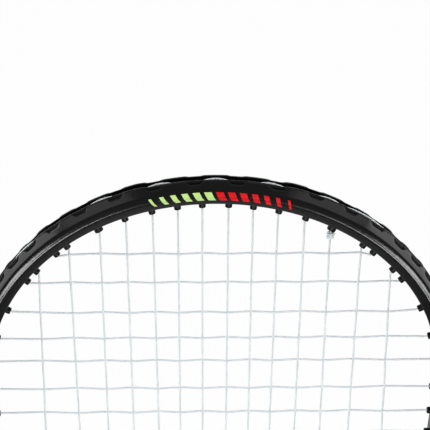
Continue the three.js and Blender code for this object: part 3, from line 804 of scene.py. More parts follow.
lower_count = CROSS_COUNT - len(UPPER_CROSS_SHARES)
lower_shares = np.linspace(UPPER_CROSS_SHARES[-1], LOWEST_CROSS_SHARE, lower_count + 1)[1:]
cross_heights = [CROWN_TOP - share * HEAD_LENGTH for share in [*UPPER_CROSS_SHARES, *lower_shares]]
tip_heights = [z - TIP_DROPS.get(c, 0.0) for c, z in enumerate(cross_heights)]
main_tops = turns_at(0, [s * HEAD_SPAN for s in CROWN_MAIN_SHARES], 0, QUARTER)
main_feet = turns_at(0, [s * HEAD_SPAN for s in THROAT_MAIN_SHARES], QUARTER, 2 * QUARTER)
cross_turns = turns_at(2, tip_heights, 0, 2 * QUARTER)
main_holes = [(turn, k == TIE_MAIN) for ends in (main_tops, main_feet) for k, turn in enumerate(ends)]
right_holes = sorted(main_holes + [(turn, False) for turn in cross_turns])
print(len(right_holes) * 2, "string holes,", 2 * len(main_tops), "mains,", CROSS_COUNT, "crosses")

# %% [markdown]
# ## Grommet strips
# A strip is one moulding: a thin web that lies in the groove, with a short barrel through the hoop
# at each hole. The web is a loft. The barrels repeat, so a node tree sets one turned barrel on each
# hole's point, stretched until it reaches the web, and an eyelet where the string dips into the web.

# %% The strips' node tree
BARREL_SIDES = 24
DRILL_SIDES = 16              # of the holes, and of the eyelets round them


def barrel_shape(name, radius, bore):
    """A barrel whose tip is at nought and that reaches up into the hoop, with a rounded lip."""
    lip = 0.75 * MM
    taper = 0.1 * MM
    outline = fillet(
        [(bore, BARREL_LENGTH), (radius, BARREL_LENGTH), (radius - taper, 0), (bore + taper, 0),
         (bore, lip)],
        [0, 0, lip, 0.12 * MM, 0.1 * MM], steps=5)
    return lathe(name, outline, BARREL_SIDES)


def eyelet_shape(name, radius, bore):
    """A low funnel round a hole in the web."""
    height = 0.22 * MM
    outline = fillet(
        [(bore, -height), (radius * 0.95, -height), (radius * 0.86, height),
         (bore + 0.12 * MM, height)],
        [0, 0, 0.15 * MM, 0.1 * MM], steps=3)
    return lathe(name, outline, DRILL_SIDES)


def strip_tree():
    """The strip's web with barrels on its holes and eyelets on its web spots."""
    tree, start, end = new_tree("grommet_strip", {
        "Holes": "object", "Web spots": "object", "Barrel": "object", "Eyelet": "object",
        "Material": "material"})
    parts = [start.outputs["Geometry"]]
    for spots, shape in (("Holes", "Barrel"), ("Web spots", "Eyelet")):
        points = node_in(tree, "GeometryNodeObjectInfo", {"Object": start.outputs[spots]})
        parts.append(copies_on(tree, points.outputs["Geometry"], start.outputs[shape]))
    joined = tree.nodes.new("GeometryNodeJoinGeometry")
    for part in parts:
        tree.links.new(part, joined.inputs["Geometry"])
    end_tree(tree, end, joined.outputs["Geometry"], start.outputs["Material"])
    return tree


grommet_tree = strip_tree()
shapes = {
    False: (barrel_shape("barrel", BARREL_RADIUS, BORE_RADIUS),
            eyelet_shape("eyelet", BARREL_RADIUS, BORE_RADIUS)),
    True: (barrel_shape("tie_barrel", TIE_BARREL_RADIUS, TIE_BORE_RADIUS),
           eyelet_shape("tie_eyelet", WEB_WIDTH / 2, TIE_BORE_RADIUS)),
}
print("node tree", grommet_tree.name, "with", len(grommet_tree.nodes), "nodes")

# %% [markdown]
# Ten strips serve each side. A strip's range says which of the side's holes are its own, counted
# from the crown. Two strings go through a tie-off hole, so its strip is a single, thicker barrel.

# %% The strips
STRIP_RANGES = {
    "crown": (0, 4), "tie_off_crown": (4, 5), "shoulder": (5, 9), "side_upper": (9, 13),
    "side_middle": (13, 17), "side_lower": (17, 21), "flank": (21, 25), "haunch": (25, 27),
    "tie_off_throat": (27, 28), "throat": (28, 32),
}
STATIONS_PER_HOLE = 14
END_STATIONS = 6
END_NARROWING = 0.35          # share of its width that the web loses at its rounded ends
END_LENGTH = 1.2 * MM


def make_web(name, turns, bore):
    """The web of one strip, with its ends rounded and a hole at each turn."""
    first, last = turns[0], turns[-1]
    start = first - WEB_OVERHANG * turn_rate(first)
    end = last + WEB_OVERHANG * turn_rate(last)
    half = WEB_WIDTH / 2
    rings = []
    for turn in np.linspace(start, end, STATIONS_PER_HOLE * len(turns) + END_STATIONS):
        top = web_top_at(turn)
        floor = top + WEB_THICKNESS
        corners = [(floor, half), (top, half), (top, -half), (floor, -half)]
        nearest = min(turn - start, end - turn) / turn_rate(turn)
        narrow = 1 - END_NARROWING * max(0, 1 - nearest / END_LENGTH) ** 2
        tapered = [(inset, forward * narrow) for inset, forward in corners]
        section = fillet(tapered, [0, 0.3 * MM, 0.3 * MM, 0], steps=4)
        rings.append(on_hoop(np.full(len(section), turn), section[:, 0], section[:, 1]))
    web = loft(name, rings, nylon)
    drills = []
    for turn in turns:
        drill = turned("drill", [(bore, -2 * MM), (bore, 2 * MM)], DRILL_SIDES)
        spin = Vector(outward_at(turn)).to_track_quat("Z", "Y").to_matrix().to_4x4()
        drill.data.transform(Matrix.Translation(Vector(on_hoop(turn, web_top_at(turn)))) @ spin)
        drills.append(drill)
    return cut(web, drills)


def make_strip(label, side, holes):
    """One strip with its web, barrels and eyelets, in place of its solid."""
    name = f"grommets_{label}_{side}"
    tie = holes[0][1]
    turns = sorted(turn if side == "right" else -turn for turn, _ in holes)
    web = make_web(f"{name}_nylon", turns, TIE_BORE_RADIUS if tie else BORE_RADIUS)
    axes = [outward_at(turn) for turn in turns]
    tips = [on_hoop(turn, tip_inset_at(turn)) for turn in turns]
    reaches = [
        (tip_inset_at(turn) - web_top_at(turn) - WEB_THICKNESS / 2) / BARREL_LENGTH for turn in turns]
    spots = point_object("holes", tips, axes, reaches)
    web_spots = point_object("web_spots", [on_hoop(turn, web_top_at(turn)) for turn in turns], axes)
    barrel, eyelet = shapes[tie]
    strip = run_tree(web, grommet_tree, {
        "Holes": spots, "Web spots": web_spots, "Barrel": barrel, "Eyelet": eyelet,
        "Material": nylon})
    smooth_below(strip, 40)
    drop(spots, web_spots)
    return finish_piece(strip, "grommet_nylon", name)


for label, (low, high) in STRIP_RANGES.items():
    for side in ("right", "left"):
        make_strip(label, side, right_holes[low:high])
for pair in shapes.values():
    drop(*pair)

# %% [markdown]
# ## Holes through the hoop
# The real tube is drilled for each barrel, with a little play round it. A boolean for each of the 64
# holes would be slow, so all the drills are one mesh that cuts at once.

# %% Drill the hoop
DRILL_PLAY = 0.12 * MM
DRILL_OVERRUN = 1 * MM


def make_drills():
    """One mesh of short closed cylinders through the hoop, at every hole."""
    vertices, faces = [], []
    forward = np.array((0, -1, 0))
    for turn, tie in right_holes:
        radius = (TIE_BARREL_RADIUS if tie else BARREL_RADIUS) + DRILL_PLAY
        for place_turn in (turn, -turn):
            along = np.cross(outward_at(place_turn), forward)
            near = [len(vertices) + k for k in range(DRILL_SIDES)]
            far = [k + DRILL_SIDES for k in near]
            for inset in (-DRILL_OVERRUN, width_at(place_turn) + DRILL_OVERRUN):
                for k in range(DRILL_SIDES):
                    angle = 2 * math.pi * k / DRILL_SIDES
                    arm = math.cos(angle) * along + math.sin(angle) * forward
                    vertices.append(on_hoop(place_turn, inset) + radius * arm)
            faces += [near, far[::-1]]
            for k in range(DRILL_SIDES):
                onward = (k + 1) % DRILL_SIDES
                faces.append([near[k], far[k], far[onward], near[onward]])
    return new_object("drills", vertices, faces, None)


drills = make_drills()
before = len(hoop.data.vertices)
cut(hoop, [drills])
smooth_below(hoop, 50)
print("hoop vertices before and after drilling:", before, len(hoop.data.vertices))
finish_piece(hoop, "frame_lacquer", "hoop")

# %% [markdown]
# ## String
# One string makes the whole bed, as in most rackets. It is tied off beside the throat, goes up and
# down through the mains, over the crown's middle and out to the other side, then to and fro through
# the crosses from the throat up, and ends in the knot that the photograph shows at the crown.
# Between two holes it arches a little out of the groove, and steps into a side lane past any hole
# on its way. At each crossing it passes in front or behind, so it leaves the string plane a little.

# %% The string's way
def at_side(side, point):
    """The point, or its mirror image on the left."""
    return np.array(point) * (side, 1, 1)


def main_at(k, height):
    """How far to the side main k is at a height."""
    top, foot = tip_at(main_tops[k]), tip_at(main_feet[k])
    return top[0] + (foot[0] - top[0]) * (top[2] - height) / (top[2] - foot[2])


def in_front(side, main, cross):
    """1 where the main passes in front of the cross, and -1 where it passes behind."""
    return 1 if (main + cross + (1 if side > 0 else 0)) % 2 == 0 else -1


def crossings(k):
    """The crosses that main k of either side meets, from the crown down."""
    top, foot = tip_at(main_tops[k])[2], tip_at(main_feet[k])[2]
    return [
        c for c, z in enumerate(cross_heights)
        if foot < z < top and main_at(k, z) < tip_at(cross_turns[c])[0]]


WEAVE_STEPS = 6


def weave(points):
    """Eases from each point to the next, so that the string bows over what it crosses."""
    eased = [points[0]]
    for a, b in zip(points[:-1], points[1:]):
        for t in np.arange(1, WEAVE_STEPS + 1) / WEAVE_STEPS:
            along = a + (b - a) * t
            along[1] = a[1] + (b[1] - a[1]) * ease(t)
            eased.append(along)
    return eased


def main_run(side, k):
    """Main k from its hole at the crown down to its hole at the throat."""
    shift = np.array((0, -TIE_OFFSET if k == TIE_MAIN else 0, 0))
    woven = [at_side(side, tip_at(main_tops[k])) + shift]
    for c in crossings(k):
        z = cross_heights[c]
        woven.append(at_side(side, (main_at(k, z), -MAIN_RISE * in_front(side, k, c), z)))
    woven.append(at_side(side, tip_at(main_feet[k])) + shift)
    start, end = (
        at_side(side, on_hoop(turn, string_inset_at(turn))) + shift
        for turn in (main_tops[k], main_feet[k]))
    return [start, *weave(woven), end]


def cross_run(c):
    """Cross c from its hole on the left to its hole on the right."""
    z = cross_heights[c]
    met = [k for k in range(len(main_tops)) if c in crossings(k)]
    woven = [at_side(-1, tip_at(cross_turns[c]))]
    for side, order in ((-1, met[::-1]), (1, met)):
        woven += [at_side(side, (main_at(k, z), MAIN_RISE * in_front(side, k, c), z)) for k in order]
    woven.append(tip_at(cross_turns[c]))
    hole = on_hoop(cross_turns[c], string_inset_at(cross_turns[c]))
    return [at_side(-1, hole), *weave(woven), hole]


HAIR = 1e-9                   # keeps a run's own two holes out of those that it passes
GROOVE_STEP = 2.5 * MM        # between points of the string in the groove


def groove_run(side, start, end, lane):
    """The way along the groove between two holes, past those between them in a side lane."""
    passed = sorted(t for t, _ in right_holes if min(start, end) + HAIR < t < max(start, end) - HAIR)
    onward = 1 if end > start else -1
    stops = [(start, 0), (end, 0)]
    if passed:
        into = start + onward * LANE_RUN * turn_rate(start)
        out = end - onward * LANE_RUN * turn_rate(end)
        stops[1:1] = [(turn, lane) for turn in (into, *passed[::onward], out)]
    points = []
    for (t0, o0), (t1, o1) in zip(stops[:-1], stops[1:]):
        pieces = max(1, int(round(abs(t1 - t0) / turn_rate(t0) / GROOVE_STEP)))
        for j in range(1, pieces + 1):
            turn = t0 + (t1 - t0) * j / pieces
            lift = SPAN_RISE * math.sin(math.pi * (turn - start) / (end - start))
            place_at = on_hoop(turn, string_inset_at(turn) - lift, o0 + (o1 - o0) * j / pieces)
            points.append(at_side(side, place_at))
    return points[:-1]


def string_way():
    """The whole string, as points from its first knot to its last."""
    outermost = len(main_tops) - 1
    start, end = main_feet[TIE_MAIN], main_tops[TIE_MAIN]
    way = [at_side(-1, on_hoop(start, inset, -TIE_OFFSET))
           for inset in (tip_inset_at(start) + SEAT_GAP, string_inset_at(start))]
    way += groove_run(-1, start, main_feet[outermost], -LANE_OFFSET)
    for side, order in ((-1, range(outermost, -1, -1)), (1, range(outermost + 1))):
        for step, k in enumerate(order):
            upwards = (k % 2 == 0) if side < 0 else (k % 2 == 1)
            run = main_run(side, k)
            way += run[::-1] if upwards else run
            if step < outermost:
                following = order[step + 1]
                ends = main_tops if upwards else main_feet
                way += groove_run(side, ends[k], ends[following], LANE_OFFSET)
        if side < 0:
            way += groove_run(1, -main_tops[0], main_tops[0], 0)
    way += groove_run(1, main_feet[outermost], cross_turns[-1], -LANE_OFFSET)
    for c in range(CROSS_COUNT - 1, -1, -1):
        rightwards = c % 2 == 0
        run = cross_run(c)
        way += run if rightwards else run[::-1]
        if c > 0:
            lane = LANE_OFFSET if cross_turns[c] > QUARTER else -LANE_OFFSET
            way += groove_run(1 if rightwards else -1, cross_turns[c], cross_turns[c - 1], lane)
    way += groove_run(1, cross_turns[0], end, -LANE_OFFSET)
    way += [on_hoop(end, inset, -TIE_OFFSET)
            for inset in (string_inset_at(end), tip_inset_at(end) + SEAT_GAP)]
    return np.array(way)


BEND = 1.9 * MM               # run of a bend, to each side of its corner
BEND_STEPS = 5
STRAIGHT = math.cos(math.radians(12))         # bends of less than this angle stay as they are


def ease_corners(points):
    """Rounds each sharp bend over a short length on both sides."""
    eased = [points[0]]
    for before, here, after in zip(points[:-2], points[1:-1], points[2:]):
        back, onward = before - here, after - here
        reach_back, reach_on = np.linalg.norm(back), np.linalg.norm(onward)
        bend = -np.dot(back, onward) / (reach_back * reach_on)
        if bend > STRAIGHT:
            eased.append(here)
            continue
        a = here + back * min(BEND, reach_back / 2) / reach_back
        b = here + onward * min(BEND, reach_on / 2) / reach_on
        eased += soft_bend(a, here, b, BEND_STEPS)
    eased.append(points[-1])
    return np.array(eased)


way = ease_corners(string_way())
string_length = float(np.linalg.norm(np.diff(way, axis=0), axis=1).sum())
print(f"string: {len(way)} points, {string_length:.2f} m long")

# %% [markdown]
# A curve with a round bevel would draw the string. A node tree does the same, and also stores how
# far along the string and where around it each point lies. The finish draws the twist from that.

# %% The string's tube
def tube_tree():
    """A round tube along a polyline, with how far along and where around it each point lies."""
    tree, start, end = new_tree(
        "round_string", {"Radius": "length", "Sides": "count", "Material": "material"})
    line = node_in(tree, "GeometryNodeMeshToCurve", {"Mesh": start.outputs["Geometry"]})
    length = tree.nodes.new("GeometryNodeSplineParameter")
    along = {"Geometry": line.outputs["Curve"], "Name": "along", "Value": length.outputs["Length"]}
    marked = node_in(tree, "GeometryNodeStoreNamedAttribute", along, data_type="FLOAT", domain="POINT")
    ring = node_in(tree, "GeometryNodeCurvePrimitiveCircle", {
        "Resolution": start.outputs["Sides"], "Radius": start.outputs["Radius"]})
    spot = tree.nodes.new("GeometryNodeInputPosition")
    around = {"Geometry": ring.outputs["Curve"], "Name": "around", "Value": spot.outputs["Position"]}
    marked_ring = node_in(
        tree, "GeometryNodeStoreNamedAttribute", around, data_type="FLOAT_VECTOR", domain="POINT")
    swept = node_in(tree, "GeometryNodeCurveToMesh", {
        "Curve": marked.outputs["Geometry"], "Profile Curve": marked_ring.outputs["Geometry"],
        "Fill Caps": True})
    end_tree(tree, end, swept.outputs["Mesh"], start.outputs["Material"])
    return tree


STRING_SIDES = 10


def string_tube(name, points):
    """A stretch of string through these points."""
    line = bpy.data.meshes.new(name)
    line.from_pydata([tuple(p) for p in points], [(k, k + 1) for k in range(len(points) - 1)], [])
    thing = bpy.data.objects.new(name, line)
    scene.collection.objects.link(thing)
    run_tree(thing, round_string, {"Radius": STRING_RADIUS, "Sides": STRING_SIDES, "Material": gut})
    thing.data.shade_smooth()
    return thing


round_string = tube_tree()
bed = string_tube("string_bed", way)
finish_piece(bed, "string_gut", "racket_string")

# %% [markdown]
# ## Knots
# A stringer ends with half hitches pulled tight against the grommet, and trims the tail. Each knot
# is three close turns of the same string round the main. The last strand crosses over them and ends
# in a short tail.

# %% Knots
KNOT_TURNS = 3.0
KNOT_STEPS = 16
KNOT_COIL = 1.25 * MM
KNOT_PITCH = 0.80 * MM
KNOT_OVER = 1.85 * MM         # how far out the last strand crosses over the turns
KNOT_TAIL = 1.2 * MM
KNOT_SLACK = 0.1 * MM         # between the grommet's tip and the first turn
CROSSING_STEPS = 10
CROSSING_START = 0.12         # of the last strand's way back over the turns
CROSSING_TURN = 0.55          # of a turn, which the last strand goes round on its way
CROSSING_RISE = 0.8           # of the knot's height, which it climbs back


def make_knot(name, side, tips):
    """A knot round the fifth main, close to its grommet. The tips are the turns of the main's ends."""
    shift = np.array((0, -TIE_OFFSET, 0))
    near, far = (at_side(side, tip_at(turn)) for turn in tips)
    near = near + shift
    axis = far - near
    axis /= np.linalg.norm(axis)
    across = np.cross(axis, (0, -1, 0))
    across /= np.linalg.norm(across)
    lift = np.cross(axis, across)

    def wound(angle, depth, reach):
        return near + axis * depth + reach * (math.cos(angle) * across + math.sin(angle) * lift)

    top = STRING_RADIUS + KNOT_SLACK
    bottom = top + KNOT_PITCH * KNOT_TURNS
    points = [
        wound(2 * math.pi * k / KNOT_STEPS, top + KNOT_PITCH * k / KNOT_STEPS, KNOT_COIL)
        for k in range(int(KNOT_TURNS * KNOT_STEPS) + 1)]
    for share in np.linspace(CROSSING_START, 1, CROSSING_STEPS):
        angle = 2 * math.pi * share * CROSSING_TURN
        depth = bottom + (top - bottom) * share * CROSSING_RISE
        reach = KNOT_COIL + (KNOT_OVER - KNOT_COIL) * math.sin(math.pi * min(share, 0.5))
        points.append(wound(angle, depth, reach))
    onward = points[-1] - points[-2]
    onward /= np.linalg.norm(onward)
    points.append(points[-1] + onward * KNOT_TAIL)
    return string_tube(name, points)


tie_turns = (main_tops[TIE_MAIN], main_feet[TIE_MAIN])
for label, side, ends in (("crown", 1, tie_turns), ("throat", -1, tie_turns[::-1])):
    knot = make_knot(f"tie_off_knot_{label}", side, ends)
    finish_piece(knot, "string_gut", f"knot_{label}")

# %% [markdown]
# ## Bars at the crown
# The front face below the crown is printed in two colours. Here it has plain slanted bars, lime on
# one side and red on the other, that grow thinner towards their ends. A print has almost no
# thickness, so each bar is a thin film a few hundredths of a millimetre off the lacquer, bent over
# the same section as the hoop.

# %% Bars at the crown
FILM_LIFT = 0.03 * MM
FILM_THICKNESS = 0.03 * MM
BAR_HALF = 2.4 * MM          # along the section, to each side of the print's middle
BAR_PITCH = math.radians(2.72)
BAR_SLANT = 0.45
BAR_LEVELS = 9                # points along each bar, so that it bends with the face
BAR_WIDTHS = {"lime": [3.5, 3.2, 2.9, 2.5, 2.0, 1.3], "red": [3.5, 3.4, 3.2, 2.9, 2.5, 2.0, 1.3]}
PRINT_INSET = 6.4 * MM
PROBE = 0.1 * MM              # to both sides of a place, to find the face's direction there


def face_path(turn):
    """The section's front at a turn: insets, distances forward, and lengths from the print's middle."""
    section = hoop_section(turn)
    front = section[:len(section) // 2]
    length = np.concatenate([[0], np.cumsum(np.linalg.norm(np.diff(front, axis=0), axis=1))])
    face = front[:, 1] > INNER_HALF
    middle = np.interp(PRINT_INSET, front[face, 0], length[face])
    return front, length - middle


def film_point(turn, distance, lift):
    """A place on the front face, this far from the print's middle and off the lacquer."""
    front, length = face_path(turn)

    def spot(at):
        return np.array([np.interp(at, length, front[:, k]) for k in range(2)])

    onward = spot(distance + PROBE) - spot(distance - PROBE)
    way_in, way_forward = onward / np.linalg.norm(onward)
    inset, forward = spot(distance)
    return on_hoop(turn, inset - lift * way_forward, forward + lift * way_in)


def make_bars(name, side, widths, material):
    """One mesh of slanted bars, counted from the crown's middle."""
    vertices, faces = [], []
    top = FILM_LIFT + FILM_THICKNESS
    for k, width in enumerate(widths):
        first = len(vertices)
        half = width * MM / 2 * turn_rate(0.0)
        for distance in np.linspace(-BAR_HALF, BAR_HALF, BAR_LEVELS):
            middle = side * (k + 0.5) * BAR_PITCH + BAR_SLANT * distance * turn_rate(0.0)
            for turn, lift in ((-half, FILM_LIFT), (half, FILM_LIFT), (half, top), (-half, top)):
                vertices.append(film_point(middle + turn, distance, lift))
        last = len(vertices) - 4
        for ring in range(first, last, 4):
            for c in range(4):
                d = (c + 1) % 4
                faces.append((ring + c, ring + d, ring + 4 + d, ring + 4 + c))
        faces += [(first + 3, first + 2, first + 1, first), (last, last + 1, last + 2, last + 3)]
    return new_object(name, vertices, faces, material, smooth=False)


for label, side, material in (("lime", -1, decal_lime), ("red", 1, decal_red)):
    bars = make_bars(f"print_bars_{label}", side, BAR_WIDTHS[label], material)
    smooth_below(bars, 40)
    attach(bars, "root")
    print(bars.name, "bars:", len(BAR_WIDTHS[label]))

# %% [markdown]
# ## Fork
# The throat is two tubes that part above the stem and open to meet the hoop. Below they lie side by
# side as a twin-tube stem. Each arm is an octagon with soft corners that follows a soft curve. The
# arms are joined by a boolean, and a fat copy of the hoop cuts their ends to the hoop's shape.

# %% Fork
ARM_WIDTH = 10.6 * MM
ARM_BEVEL = 2.6 * MM
ARM_DEPTH = 16.4 * MM
STEM_DEPTH = 15.0 * MM
STEM_SPREAD = 10.0 * MM
STEM_BOTTOM = 14.0 * MM
STEM_TOP = HEAD_FOOT - 73 * MM
ARM_RUN = 34.0 * MM
ARM_SWEEP = 30.0 * MM
ARM_SEAT = 3.5 * MM
LANDING_MAIN = 2
ARM_STEPS = 60
ARM_SOFTNESS = 1.4 * MM
landing = (main_feet[LANDING_MAIN] + main_feet[LANDING_MAIN + 1]) / 2


def arm_ring(spot, along, depth):
    """A soft octagon square to the arm's direction."""
    across = np.cross((0, -1, 0), along)
    across /= np.linalg.norm(across)
    w, d, c = ARM_WIDTH / 2, depth / 2, ARM_BEVEL
    corners = [
        (w, d - c), (w - c, d), (c - w, d), (-w, d - c),
        (-w, c - d), (c - w, -d), (w - c, -d), (w, c - d)]
    section = fillet(corners, [ARM_SOFTNESS] * 8, steps=5)
    return [spot + across * x + np.array((0, -1, 0)) * f for x, f in section]


def curve_at(a, b, c, d, t):
    """A cubic curve's place and direction."""
    place_at = (1 - t) ** 3 * a + 3 * (1 - t) ** 2 * t * b + 3 * (1 - t) * t ** 2 * c + t ** 3 * d
    way_at = 3 * (1 - t) ** 2 * (b - a) + 6 * (1 - t) * t * (c - b) + 3 * t ** 2 * (d - c)
    return place_at, way_at


def make_arm(side):
    """One arm, from its foot inside the handle up to its seat under the hoop."""
    root = np.array((STEM_SPREAD / 2, 0, STEM_TOP))
    seat = on_hoop(landing, ARM_SEAT)
    lean = seat - root
    lean /= np.linalg.norm(lean)
    rings = [arm_ring(np.array((STEM_SPREAD / 2, 0, STEM_BOTTOM)), np.array((0, 0, 1.0)), STEM_DEPTH)]
    for t in np.linspace(0, 1, ARM_STEPS):
        spot, along = curve_at(root, root + (0, 0, ARM_RUN), seat - lean * ARM_SWEEP, seat, t)
        rings.append(arm_ring(spot, along, STEM_DEPTH + (ARM_DEPTH - STEM_DEPTH) * t))
    normal = outward_at(landing)
    rings[-1] = [p + lean * np.dot(seat - p, normal) / np.dot(lean, normal) for p in rings[-1]]
    mirrored = [[at_side(side, p) for p in ring] for ring in rings]
    return loft(f"arm_{side}", mirrored, lacquer)


def hoop_space(side):
    """The room that the hoop takes at an arm, with the seat gap round it."""
    reach = 2 * ARM_WIDTH * turn_rate(landing)
    rings = []
    for turn in np.linspace(landing - reach, landing + reach, 24):
        half = [
            (-SEAT_GAP, GROOVE_HALF + RIDGE_WIDTH + SEAT_GAP / 2), (BRIM_INSET, BRIM_HALF + SEAT_GAP),
            (SHOULDER_INSET, SHOULDER_HALF + SEAT_GAP),
            (width_at(turn) + SEAT_GAP, INNER_HALF + SEAT_GAP)]
        both = half + [(inset, -forward) for inset, forward in reversed(half)]
        rings.append([at_side(side, on_hoop(turn, inset, forward)) for inset, forward in both])
    return loft(f"space_{side}", rings, None)


fork = make_arm(1)
cut(fork, [make_arm(-1)], "UNION")
cut(fork, [hoop_space(1), hoop_space(-1)])
fork.name = "fork_tubes"
paint(fork, lacquer)
smooth_below(fork, 35)
finish_piece(fork, "frame_lacquer", "throat_fork")

# %% [markdown]
# ## Handle
# The handle is an octagon all the way up, so one function gives its ring: a corner-rounded octagon
# that stands out from the pallets by any distance. The cap, the strap, the tape and the collar are
# all drawn with it.

# %% Handle's octagon
PALLET_WIDTH = 27.0 * MM
PALLET_DEPTH = 24.0 * MM
PALLET_CHAMFER = 7.0 * MM
CHAMFER_SHARE = 2 - math.sqrt(2)
CORNER_SOFTNESS = 2.2 * MM


def octagon(width, depth, chamfer, soft):
    """A flat octagon with rounded corners."""
    w, d, c = width / 2, depth / 2, chamfer
    corners = [
        (w, c - d), (w, d - c), (w - c, d), (c - w, d),
        (-w, d - c), (-w, c - d), (c - w, -d), (w - c, -d)]
    return fillet(corners, [soft] * 8, steps=6)


def ring_at(height, *octagon_sizes):
    """An octagon at a height."""
    flat = octagon(*octagon_sizes)
    return np.column_stack([flat, np.full(len(flat), height)])


def pallet_ring(grow, height, soft=CORNER_SOFTNESS):
    """The pallets' octagon, grown by a distance, at a height."""
    chamfer = PALLET_CHAMFER + grow * CHAMFER_SHARE
    return ring_at(height, PALLET_WIDTH + 2 * grow, PALLET_DEPTH + 2 * grow, chamfer, soft)


pallet_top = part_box("pallet_front")[1].z
handle_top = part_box("rubber_collar")[1].z
print(f"pallets end at {1000 * pallet_top:.0f} mm, the collar at {1000 * handle_top:.0f} mm")

# %% [markdown]
# The two foam pallets lie under the strap, so their solids stay as they are and only get a finish.
# The cap is a soft-edged moulding with a lip that stops the hand, and a fine step where its skirt
# goes under the strap.

# %% Butt cap and plug
CAP_LIP_GROW = 4.5 * MM
CAP_LIP_HEIGHT = 7.0 * MM
CAP_FLOOR = 4.0 * MM
CAP_EDGE = 1.2 * MM
CAP_SKIRT_TOP = 26.0 * MM
CAP_SKIRT_WALL = 1.0 * MM
STRAP_THICKNESS = 1.6 * MM
FLARE_GROW = CAP_LIP_GROW - STRAP_THICKNESS
PLUG_DIAMETER = 13.0 * MM
PLUG_THICKNESS = 1.6 * MM
PLUG_SIDES = 64
PLUG_DISH = 0.25 * MM


def make_cap():
    """The cap with its lip and skirt, and a recess for the plug."""
    lip = CAP_LIP_GROW
    outline = fillet(
        [(lip - CAP_EDGE, 0), (lip, CAP_EDGE), (lip, CAP_LIP_HEIGHT - CAP_EDGE / 2),
         (lip - CAP_EDGE / 2, CAP_LIP_HEIGHT), (FLARE_GROW - SEAT_GAP, CAP_LIP_HEIGHT),
         (SEAT_GAP + CAP_SKIRT_WALL, CAP_SKIRT_TOP), (SEAT_GAP, CAP_SKIRT_TOP), (SEAT_GAP, CAP_FLOOR)],
        [0.5 * MM, 0.5 * MM, 0.3 * MM, 0.3 * MM, 0, 0, 0, 0], steps=4)
    rings = [pallet_ring(grow, height, CORNER_SOFTNESS * 1.4) for grow, height in outline]
    cap = loft("cap_moulding", rings, cap_plastic)
    room = PLUG_DIAMETER / 2 + SEAT_GAP
    recess = turned("recess", [(room, -MM), (room, PLUG_THICKNESS + SEAT_GAP)], PLUG_SIDES)
    return cut(cap, [recess])


def make_plug():
    """A round plug with a shallow dish in its face."""
    r = PLUG_DIAMETER / 2
    outline = fillet(
        [(ON_AXIS, PLUG_DISH), (r * 0.55, PLUG_DISH), (r * 0.60, 0), (r, 0), (r, PLUG_THICKNESS),
         (ON_AXIS, PLUG_THICKNESS)],
        [0, 0.3 * MM, 0.3 * MM, 0.3 * MM, 0.1 * MM, 0], steps=4)
    return lathe("plug_moulding", outline, PLUG_SIDES, cap_plastic)


cap = make_cap()
print(f"cap lip {2000 * (PALLET_WIDTH / 2 + CAP_LIP_GROW):.0f} mm wide")

# %% [markdown]
# Two countersunk screws hold the cap. The screw is drawn once, with its cross recess cut in, and a
# node tree sets it on both points.

# %% Cap screws
SCREW_RADIUS = 1.2 * MM
SCREW_HEAD_RADIUS = 2.2 * MM
SCREW_HEAD_HEIGHT = 1.3 * MM
SCREW_LENGTH = 14.0 * MM
SCREW_SIDES = 32
THREAD_STEP = 0.45 * MM
THREAD_DEPTH = 0.18 * MM
SLOT_LENGTH = 2.6 * MM
SLOT_WIDTH = 0.45 * MM
SLOT_DEPTH = 0.8 * MM


def slot_block(length, width):
    """A block that cuts one slot of the cross recess."""
    x, y = length / 2, width / 2
    levels = (-MM, SEAT_GAP + SLOT_DEPTH)
    return loft("slot", [[(-x, -y, z), (x, -y, z), (x, y, z), (-x, y, z)] for z in levels], None)


def make_screw():
    """A countersunk screw, its head at the cap's outer face."""
    head, shank = SCREW_HEAD_RADIUS, SCREW_RADIUS
    levels = np.arange(SCREW_HEAD_HEIGHT + 1.2 * MM, SCREW_LENGTH - 2.4 * MM, THREAD_STEP)
    threads = [(shank - (THREAD_DEPTH if k % 2 else 0), z) for k, z in enumerate(levels)]
    screw = turned("screw", [
        (head, SEAT_GAP), (head, SEAT_GAP + 0.15 * MM), (shank, SEAT_GAP + SCREW_HEAD_HEIGHT),
        *threads, (0.4 * MM, SCREW_LENGTH)], SCREW_SIDES, screw_steel)
    return cut(screw, [slot_block(SLOT_LENGTH, SLOT_WIDTH), slot_block(SLOT_WIDTH, SLOT_LENGTH)])


def screw_hole(behind):
    """The countersunk room for a screw, this far behind the handle's middle."""
    head, shank = SCREW_HEAD_RADIUS + SEAT_GAP, SCREW_RADIUS + SEAT_GAP
    hole = turned("screw_hole", [
        (head, -MM), (head, 2 * SEAT_GAP), (shank, SCREW_HEAD_HEIGHT + 2 * SEAT_GAP),
        (shank, 2 * CAP_FLOOR)], SCREW_SIDES)
    hole.data.transform(Matrix.Translation((0, behind, 0)))
    return hole


cavity_depth = STEM_DEPTH + 2 * SEAT_GAP
screw_offset = (PALLET_DEPTH + cavity_depth) / 4
screw_spots = (-screw_offset, screw_offset)
screw = make_screw()
cut(cap, [screw_hole(y) for y in screw_spots])
smooth_below(cap, 32)
finish_piece(cap, "butt_plastic", "butt_cap")
plug = make_plug()
smooth_below(plug, 32)
finish_piece(plug, "butt_plastic", "butt_plug")
screws = point_object("cap_screws", [(0, y, 0) for y in screw_spots], [(0, 0, 1)] * 2)
run_tree(screws, copies_tree("screws"), {"Shape": screw, "Material": screw_steel})
drop(screw)
smooth_below(screws, 32)
finish_piece(screws, "screw_steel", "cap_screw_front", "cap_screw_back")

# %% [markdown]
# ## Grip strap
# The strap is one band wound up the handle, tapered at both ends so that the winding starts and
# stops level. Each turn's lower edge is the thick one and laps against the turn below, and the skin
# bulges a little between its edges. The band is a loft along the winding.

